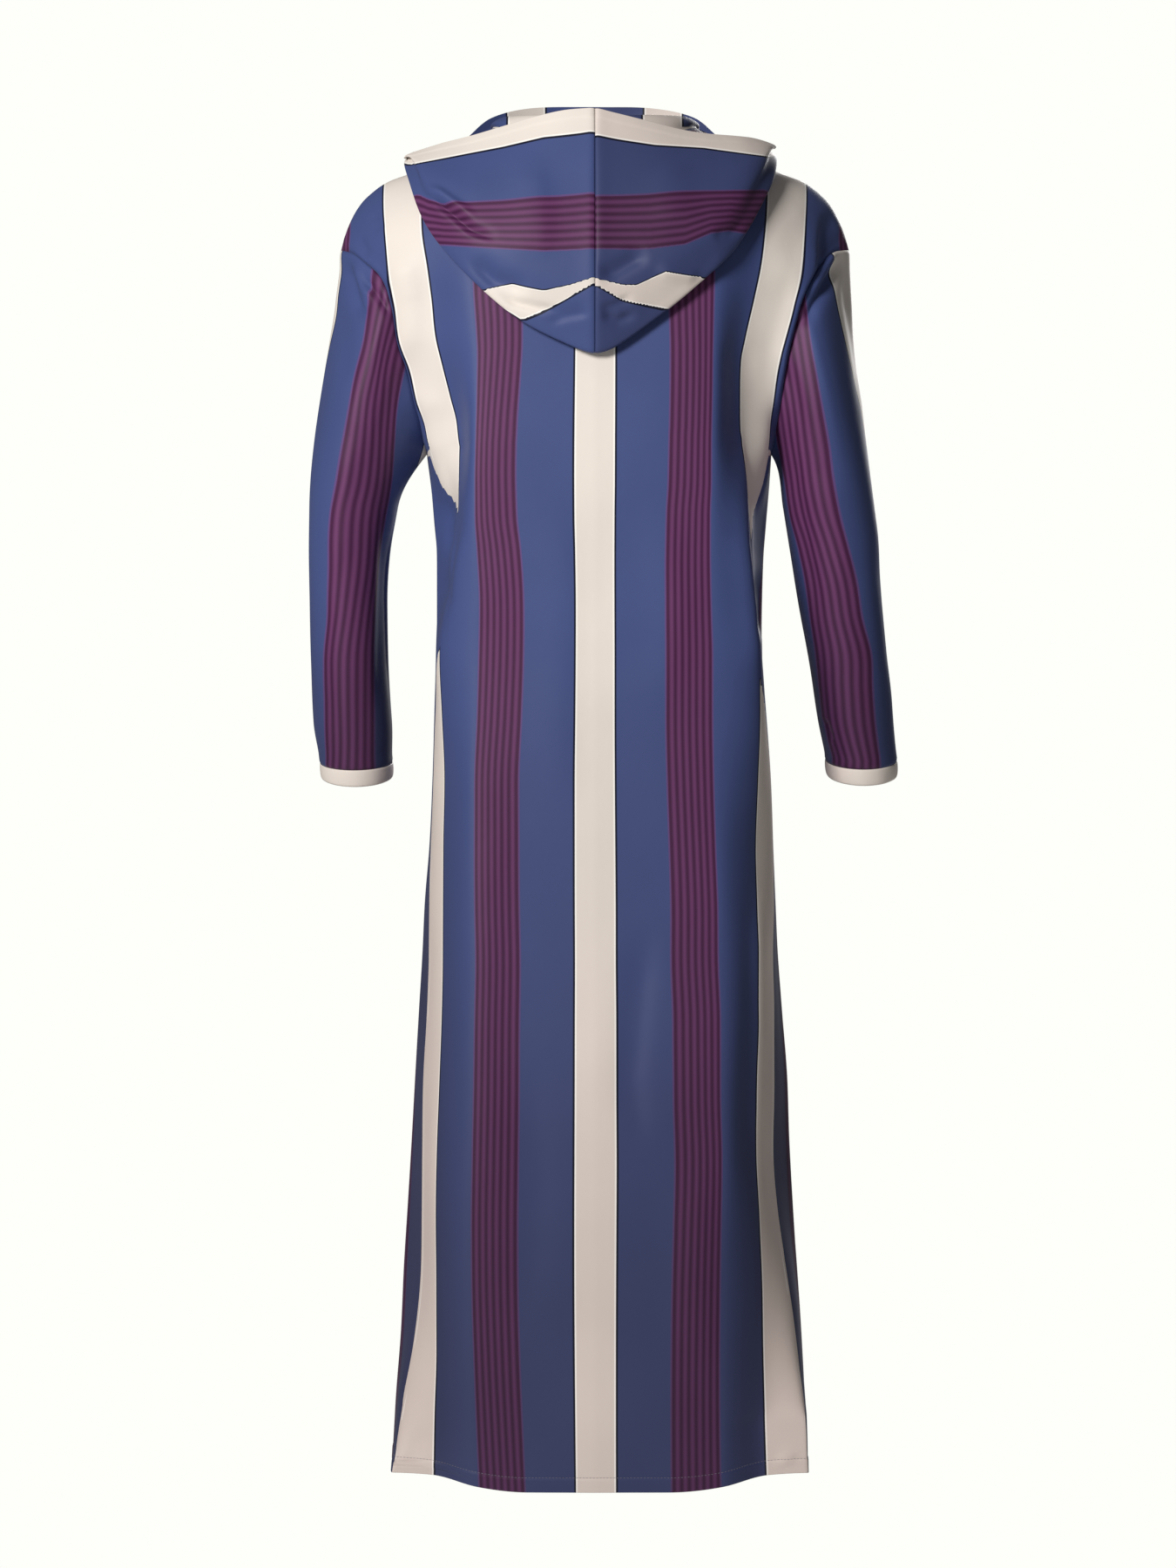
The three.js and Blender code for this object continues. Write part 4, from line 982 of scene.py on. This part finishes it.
def hem_stitches(lines):
    """One line of stitches round the hem: spindles of three six-sided rings, laid end to end.

    A ring's point = middle of the stitch + u * half length along + radius(u) * (cos, sin) round.
    """
    bend = np.arange(RING_CORNERS) * 2 * np.pi / RING_CORNERS
    along_share, radius_share = STITCH_RINGS.T[:, None, :, None, None]
    spindles = []
    for line, out in lines:
        run = np.concatenate([[0], np.cumsum(np.linalg.norm(np.diff(line, axis=0), axis=1))])
        middles = np.arange(STITCH_PITCH, run[-1] - STITCH_PITCH, STITCH_PITCH)

        def read(values, at):
            """Values along the line, read at lengths along it."""
            return np.stack([np.interp(at, run, values[:, k]) for k in range(3)], -1)

        along = read(line, middles + 1) - read(line, middles - 1)
        along /= np.linalg.norm(along, axis=1)[:, None]
        up = read(out, middles)
        up /= np.linalg.norm(up, axis=1)[:, None]
        beside = np.cross(along, up)
        centre = read(line, middles) + up * (CLOTH / 2 + STITCH_THICK * STITCH_OUT)
        centre, along, up, beside = (v[:, None, None] for v in (centre, along, up, beside))
        turn = np.cos(bend)[:, None] * up + np.sin(bend)[:, None] * beside
        spindles.append(centre + along_share * along * STITCH_LONG / 2
                        + radius_share * turn * STITCH_THICK / 2)
    spindles = np.concatenate(spindles)
    index = np.arange(spindles.size // 3).reshape(spindles.shape[:-1])
    beyond = np.roll(index, -1, 2)
    walls = np.stack([index[:, :-1], index[:, 1:], beyond[:, 1:], beyond[:, :-1]], -1).reshape(-1, 4)
    caps = [index[:, 0][:, face] for face in CAP] + [index[:, -1][:, face[::-1]] for face in CAP]
    piece = add_mesh("hem_stitches", spindles.reshape(-1, 3), np.concatenate([walls, *caps]),
                     STITCHING)
    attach(piece, "root")


# ------------------------------------------------------------------ sleeves and cuffs
# Edges of the purple stripe on the back of each sleeve, as seen from behind: the height, and
# the distance of its outer and inner edge from the middle plane.
STRIPE = "z outer inner"
SLEEVE_STRIPE = {
    "left": table(STRIPE, [
        (-603, 277.2, 227.7), (-499, 281.7, 227.7), (-445, 277.2, 225.0), (-404, 275.4, 220.5),
        (-346, 272.7, 215.1), (-310, 266.4, 209.7), (-274, 261.0, 207.0), (-238, 254.7, 204.3),
        (-202, 248.4, 198.0), (-166, 239.4, 190.0), (-130, 234.9, 186.0), (-60, 226.0, 182.0),
    ]),
    "right": table(STRIPE, [
        (-598, 294.3, 245.7), (-562, 289.8, 235.8), (-526, 287.1, 231.3), (-490, 285.3, 227.7),
        (-454, 276.3, 222.3), (-418, 270.9, 216.9), (-382, 261.9, 209.7), (-346, 252.9, 200.7),
        (-310, 246.6, 195.3), (-274, 242.1, 189.0), (-238, 235.8, 185.0), (-202, 229.5, 182.0),
        (-166, 223.2, 180.0), (-130, 218.7, 178.0), (-60, 212.0, 174.0),
    ]),
}
# How fast the print goes on round the arm beyond the purple's two edges.
OUTER_SCALE = table("t left right", [
    (0, 0.8, 0.82), (0.25, 0.62, 0.68), (0.5, 0.66, 0.6), (1, 0.66, 0.6),
])
INNER_SCALE = 0.62
PURPLE_LEAST = 8.0     # the purple is never taken to be narrower than this
# Folds on the back of the sleeves, placed as seen from behind.
SLEEVE_FOLDS = {
    "left": [
        ([(255, -82), (251, -104), (244, -130), (235, -146)], 7.6, 3.4, -5.5),
        ([(246, -92), (236, -108), (226, -118), (217, -131), (209, -145)], 3.4, 3.4, -3.5),
        ([(250, -86), (240, -108), (230, -128)], 4.2, 4.2, 3.2),
        ([(262, -120), (258, -170), (262, -220)], 8, 10, -2),
        ([(215, -330), (218, -400), (220, -470), (222, -560)], 6.8, 8.5, -3.8),
        ([(276, -420), (279, -500), (272, -580)], 10, 8, -2.3),
        ([(250, -260), (262, -340), (266, -420)], 14, 10, 2.2),
    ],
    "right": [
        ([(-254, -75), (-242, -100), (-229, -123), (-220, -138), (-205, -155)], 4.2, 7.6, -5.8),
        ([(-250, -72), (-236, -98), (-222, -122)], 8.5, 3.4, 3.5),
        ([(-256, -78), (-262, -132), (-272, -190), (-278, -240)], 5.1, 4.2, -3.2),
        ([(-200, -250), (-208, -320), (-222, -400), (-234, -470)], 6.8, 7.6, -2.9),
        ([(-290, -360), (-302, -450), (-312, -540)], 7.6, 7.6, -2.6),
        ([(-237, -556), (-241, -570), (-247, -582)], 3, 3, -2.6),
        ([(-232, -300), (-248, -360), (-262, -430)], 10, 14, 2.2),
    ],
}
SLEEVE_LONG = 540.0
SLEEVE_ROWS, SLEEVE_CROWD = 150, 1.08
BEHIND = -0.1, 0.35    # how far the cloth faces back where the folds pass to the front's
FRONT_SHARE = 0.8      # the front's folds are this much of the back's
SLEEVE_RIPPLE = 24.0, 0.8
UNDER_FADE = 0.12      # nothing moves the cloth within this angle of the underarm seam
CUFF_ROLL = 0.7, 3.5
# Painted shade: down the sleeve, and on the side towards the body.
SLEEVE_PAINTED_SHADE, PAINTED_SHADE_ALONG_SLEEVE, PAINTED_SHADE_ROUND, PAINTED_SHADE_INNER_ALONG = 0.6, (0.45, 1.0), (1.75, 2.6), (0.3, 0.8)
CUFF_ROWS, CUFF_BULGE = 14, 0.9
CUFF_RIPPLE = 7.0, 0.5
CUFF_RADIUS = 40.0
# Painted shade of the cuffs: darker all round, and more on the side towards the body.
CUFF_PAINTED_SHADE, CUFF_PAINTED_SHADE_INNER, CUFF_PAINTED_SHADE_ROUND = 0.25, 0.4, (1.7, 2.6)


def sleeve_print(side, points, t):
    """Place in the print round each row: the purple lies between its two edges.

    Beyond an edge the place goes on with the run of cloth round the arm, times a scale.
    """
    run = run_along(points, 1)
    back = points.shape[1] // 2
    place = seen(points)
    away, high = np.abs(place[..., 0]), place[..., 1]
    at = {}
    for edge in ("outer", "inner"):
        beyond = SLEEVE_STRIPE[side][edge](high.ravel()).reshape(high.shape) - away
        at[edge] = np.array([np.interp(0, np.maximum.accumulate(short), along)
                             for short, along in zip(beyond[:, back:], run[:, back:])])[:, None]
    wide = np.maximum(at["inner"] - at["outer"], PURPLE_LEAST)
    across = BLUE_END + (REPEAT - 2 * BLUE_END) * np.clip((run - at["outer"]) / wide, 0, 1)
    across -= OUTER_SCALE[side](t)[:, None] * np.maximum(at["outer"] - run, 0)
    across += INNER_SCALE * np.maximum(run - at["outer"] - wide, 0)
    return np.stack([across, np.broadcast_to(-SLEEVE_LONG * t[:, None], run.shape)], -1)


def sleeve(side):
    """One sleeve: an open tube from the armhole to the cuff, its own seam at the underarm.

    Point = sleeve point + normal * (folds + ripple + seam rolls), held still at the seams.
    """
    start, angle = armhole(side, ROUND_COLUMNS)
    t = np.linspace(0, 1, SLEEVE_ROWS) ** SLEEVE_CROWD
    points = sleeve_points(side, start, angle, t)
    outwards = -SIDE_SIGN[side]
    normal = surface_normals(points, outwards)
    uv = sleeve_print(side, points, t)
    from_top = run_along(points, 0)
    from_end = from_top[-1] - from_top
    behind = smooth(normal[..., 1], *BEHIND)
    folds = relief(seen(points), SLEEVE_FOLDS[side]) * behind
    turned = points * np.array([1, -1, 1])
    folds += relief(seen(turned), SLEEVE_FOLDS[side]) * (1 - behind) * FRONT_SHARE
    folds += ripple(points, SEEDS[side], *SLEEVE_RIPPLE)
    under = smooth(np.pi - np.abs(angle), 0, UNDER_FADE)
    edge = smooth(from_top, 0, FOLD_FADE / 2) * smooth(from_end, 0, FOLD_FADE)
    height = (folds * edge + seam_roll(from_top) + seam_roll(from_end, *CUFF_ROLL)) * under
    points = points + normal * height[..., None]
    # Painted shade: darker towards the cuff, and on the side towards the body where it lies in shadow.
    inner = smooth(np.abs(angle), *PAINTED_SHADE_ROUND) * smooth(t, *PAINTED_SHADE_INNER_ALONG)[:, None]
    deep = SLEEVE_PAINTED_SHADE * (smooth(t, *PAINTED_SHADE_ALONG_SLEEVE)[:, None] + inner)
    piece = cloth_piece(f"sleeve_{side}_cloth", points, uv, deep, [f"sleeve_{side}"],
                        outwards, STRIPED)


def cuff(side):
    """One cuff: a narrow cream band folded double, bulged by the root of the sine of its share."""
    _, angle = armhole(side, ROUND_COLUMNS)
    share = np.linspace(0, 1, CUFF_ROWS)
    z = SLEEVE_END[side] + (CUFF_END[side] - SLEEVE_END[side]) * share
    points = ring_points(side, z, angle)
    outwards = -SIDE_SIGN[side]
    normal = surface_normals(points, outwards)
    t = share[:, None]
    height = CUFF_BULGE * np.sqrt(np.sin(np.pi * t)) + ripple(points, SEEDS["cuff"], *CUFF_RIPPLE) * t
    points = points + normal * height[..., None]
    uv = np.stack(np.broadcast_arrays(angle * CUFF_RADIUS, z[:, None]), -1)
    # Painted shade: the cuff darkens all round, and more on its side towards the body.
    deep = CUFF_PAINTED_SHADE + CUFF_PAINTED_SHADE_INNER * smooth(np.abs(angle), *CUFF_PAINTED_SHADE_ROUND)
    piece = cloth_piece(f"cuff_{side}_band", points, uv, np.broadcast_to(deep, points.shape[:2]),
                        [f"cuff_{side}"], outwards, PLAIN_CREAM, thickness=CUFF_CLOTH)


# ------------------------------------------------------------------ hood
# Lines of the print on the hood's outer layer, as seen from behind: the place of each in the
# repeat, and its height at distances from the centre seam.
HOOD_LINES = {
    "left": [
        (20.0, [(6, 48), (53, 43), (94.5, 33), (136, 25), (197, 13)]),
        (72.5, [(6, -15), (94.5, -22), (156, -25), (172, -21), (191, -11)]),
        (122.5, [(4, -73), (53, -75), (109, -71.5), (161, -68)]),
        (175.0, [(3, -103), (26, -110), (53, -115.5), (86, -109), (117, -116)]),
        (215.0, [(3, -107.5), (53, -136), (75.5, -145), (115, -118)]),
    ],
    "right": [
        (20.0, [(2, 44.5), (29, 40), (62, 35), (112, 32), (185, 22)]),
        (72.5, [(4, -17.5), (57, -15.5), (112, -12), (175, -11)]),
        (122.5, [(2, -73), (57, -72.5), (93, -68), (120, -56), (140, -53.5), (152, -56)]),
        (175.0, [(2, -104), (29, -110), (43, -110), (73, -95), (114, -103)]),
        (215.0, [(2, -108.5), (29, -124), (77, -134.5), (114, -105)]),
    ],
}
BAND_FROM = -17.0       # place in the repeat of the rim's edge, near the far side of the cream
TIP_SHARE, TIP_MOST = 0.6, 46.0        # how the print goes on below the lowest line
FRONT_FROM, FRONT_SCALE = 69.5, 0.93   # the print beside the centre front seam
FRONT_TURN = 1.02, 1.22                # the print passes to the front's between these
# Steps from the neck seam to the rim.
OUTER_FROM = 8.6                       # the outer layer's first row, just past the fold
STAND_TO = 3.6, 4.6                    # the stand at the neck ends between these
HOOD_COLUMNS = 150
HOOD_ROWS = ((0, 7, 50), (7, 9.4, 40), (9.4, HOOD_STEPS, 90))   # from, to and how many
OUTER_FADE = -0.3, 0.6                 # folds start here, about the outer layer's first row
FOLDS_TO, FOLDS_FADE = 1.15, 0.15      # folds end before this c
HOOD_RIPPLE = 30.0, 0.6
HOOD_ROLL = 1.3, 5.0
HOOD_SEAM_FADE = 6.0
RIM_PROUD, RIM_TURN, RIM_FADE = 0.5, (8, 12), 4.0   # the doubled rim and where it ends
# Painted shade of each hood half: the right half is darker.
HOOD_PAINTED_SHADE = {"left": 0.0, "right": 0.5}

HOOD_FOLDS = {
    "left": [
        ([(186, -15), (165, -23), (147, -37), (129, -53), (98, -63)], 3.4, 6.8, -5.2),
        ([(178, -8), (160, -14), (140, -28), (122, -42)], 7.6, 4.2, 3.5),
        ([(130, -82), (106, -105), (84, -112), (66, -118)], 7.6, 10.2, -4.8),
        ([(104, -116), (84, -128), (60, -134), (30, -136)], 4.2, 6, -3.8),
        ([(50, -150), (30, -143), (2, -138)], 3, 9, -2.6),
        ([(60, 30), (62, 0), (56, -50), (60, -90)], 22, 14, 2.2),
    ],
    "right": [
        ([(0, -102), (-20, -96), (-40, -84), (-58, -78)], 7.6, 10.2, -5),
        ([(-60, -92), (-84, -98), (-112, -104)], 6.8, 6.8, 3.2),
        ([(-120, -58), (-140, -54), (-160, -50)], 7.6, 6, -2.9),
        ([(-4, -140), (-24, -146), (-44, -140)], 5.1, 5.1, -3.5),
        ([(-2, -134), (-18, -130), (-40, -120)], 8, 3, -2.4),
        ([(-70, 20), (-84, -10), (-80, -50)], 24, 22, 2.3),
    ],
}


def hood_print(side, points, c, t):
    """Place in the print: by lines on the outer layer, by run of cloth on the inner one.

    Between two lines the place goes evenly with height. Round the front it falls with the run of
    cloth from the centre front seam, and on the stand at the neck with the distance from the
    centre back.
    """
    place = seen(points)
    away, height = np.abs(place[..., 0]), place[..., 1]
    lines = [(at, np.interp(away, *np.array(line, float).T)) for at, line in HOOD_LINES[side]]
    across = np.maximum(lines[0][0] - np.maximum(height - lines[0][1], 0), BAND_FROM)
    for (at, high), (below, low) in zip(lines, lines[1:]):
        across += (below - at) * np.clip((high - height) / np.maximum(high - low, 1.0), 0, 1)
    across += np.clip(TIP_SHARE * (lines[-1][1] - height), 0, TIP_MOST)
    down = run_along(points, 0)
    fold = np.argmax(t >= OUTER_FROM)
    across[:fold] = across[fold] + down[fold] - down[:fold]
    stand = (1 - smooth(t, *STAND_TO))[:, None]
    across = across * (1 - stand) + (FRONT_FROM - away) * stand
    round_front = run_along(points, 1)
    round_front = round_front[:, -1:] - round_front
    front = FRONT_FROM - FRONT_SCALE * round_front
    share = smooth(c, *FRONT_TURN)
    return np.stack([across * (1 - share) + front * share, down], -1)


def hood_half(side):
    """One half of the hood, from the neck seam out, over the fold and back up to the rim.

    Point = hood point + normal * (folds + ripple + seam roll + doubled rim), held at the seams.
    """
    c = np.linspace(0, 2, HOOD_COLUMNS)
    t = np.unique(np.concatenate([np.linspace(*part) for part in HOOD_ROWS]))
    points = spline(hood_controls(side, c), t)
    outwards = -SIDE_SIGN[side]
    normal = surface_normals(points, outwards)
    uv = hood_print(side, points, c, t)
    from_back = run_along(points, 1)
    from_seam = np.minimum(from_back, from_back[:, -1:] - from_back)
    from_neck = run_along(points, 0)
    from_rim = from_neck[-1] - from_neck
    outer = smooth(t - OUTER_FROM, *OUTER_FADE)[:, None] * smooth(FOLDS_TO - c, 0, FOLDS_FADE)
    folds = relief(seen(points), HOOD_FOLDS[side]) + ripple(points, SEEDS["hood"], *HOOD_RIPPLE)
    edge = smooth(from_seam, 0, HOOD_SEAM_FADE) * smooth(from_neck, 0, FOLD_FADE)
    height = folds * outer * edge
    height += seam_roll(from_seam, *HOOD_ROLL) * smooth(from_neck, 0, HOOD_SEAM_FADE)
    height += RIM_PROUD * (1 - smooth(from_rim, *RIM_TURN)) * smooth(from_seam, 0, RIM_FADE)
    points = points + normal * height[..., None]
    # Painted shade: the right half of the hood is darker all over.
    deep = np.full(height.shape, HOOD_PAINTED_SHADE[side])
    piece = cloth_piece(f"hood_{side}_half", points, uv, deep, [f"hood_{side}"],
                        outwards, STRIPED)


hem_stitches([panel("back"), panel("front")])
for wearer_side in ("left", "right"):
    sleeve(wearer_side)
    cuff(wearer_side)
    hood_half(wearer_side)


# ------------------------------------------------------------------ floor, light and camera
LENS, SENSOR_HIGH, SEES_TO = 88.9, 36.0, 100.0
FLOOR_Z = -2000.0       # below what the camera sees
FLOOR_REACH = 2700.0
FLOOR_COLOUR = (0.9, 0.91, 0.89, 1.0)
FILL_COLOUR, FILL_STRENGTH = (1.0, 1.0, 1.0, 1.0), 0.1
BACKDROP_COLOUR = (0.991, 1.0, 0.955, 1.0)
# Places and sizes in metres, power in watts. The key is to the left of the camera.
LIGHTS = {
    "key": dict(place=(2.1, 3.3, 1.1), size=1.1, power=168.0, colour=(1.0, 0.99, 0.97),
                aim=(0, 0.1, -0.45)),
    "front_light": dict(place=(-1.2, -3.6, 0.9), size=1.6, power=110.0, colour=(1.0, 0.99, 0.98),
                        aim=(0, 0, -0.6)),
}


def floor():
    """A plain pale floor, well below the hem: one square."""
    corners = np.array([(x * FLOOR_REACH, y * FLOOR_REACH, FLOOR_Z)
                        for x, y in ((-1, -1), (1, -1), (1, 1), (-1, 1))])
    nodes = Nodes("floor")
    put(nodes.shader, Base_Color=FLOOR_COLOUR, Roughness=0.9)
    add_mesh("floor", corners, np.array([[0, 1, 2, 3]]), nodes.material)


def area_light(name, place, size, power, colour, aim):
    """A soft square light at place, turned to aim (both in metres)."""
    lamp = bpy.data.lights.new(name, "AREA")
    lamp.energy = power
    lamp.size = size
    lamp.color = colour
    holder = bpy.data.objects.new(name, lamp)
    holder.location = place
    holder.rotation_euler = (Vector(aim) - Vector(place)).to_track_quat("-Z", "Y").to_euler()
    bpy.context.scene.collection.objects.link(holder)


def studio():
    """A weak even fill, a backdrop that only the camera sees, and the lights."""
    world = bpy.data.worlds.new("studio")
    world.use_nodes = True
    tree = world.node_tree
    fill = tree.nodes["Background"]
    put(fill, Color=FILL_COLOUR, Strength=FILL_STRENGTH)
    backdrop = tree.nodes.new("ShaderNodeBackground")
    put(backdrop, Color=BACKDROP_COLOUR)
    rays = tree.nodes.new("ShaderNodeLightPath")
    choose = tree.nodes.new("ShaderNodeMixShader")
    tree.links.new(rays.outputs["Is Camera Ray"], choose.inputs[0])
    tree.links.new(fill.outputs[0], choose.inputs[1])
    tree.links.new(backdrop.outputs[0], choose.inputs[2])
    tree.links.new(choose.outputs[0], tree.nodes["World Output"].inputs["Surface"])
    bpy.context.scene.world = world
    for name, settings in LIGHTS.items():
        area_light(name, **settings)


def camera():
    """The camera behind the robe, level with its middle."""
    lens = bpy.data.cameras.new("camera")
    lens.lens = LENS
    lens.sensor_fit = "VERTICAL"
    lens.sensor_height = SENSOR_HIGH
    lens.clip_end = SEES_TO
    holder = bpy.data.objects.new("camera", lens)
    holder.location = (EYE_X * MM, EYE_AWAY * MM, EYE_Z * MM)
    holder.rotation_euler = (math.pi / 2, 0, math.pi)
    bpy.context.scene.collection.objects.link(holder)
    bpy.context.scene.camera = holder


floor()
studio()
camera()
bpy.context.scene.view_settings.view_transform = "Standard"
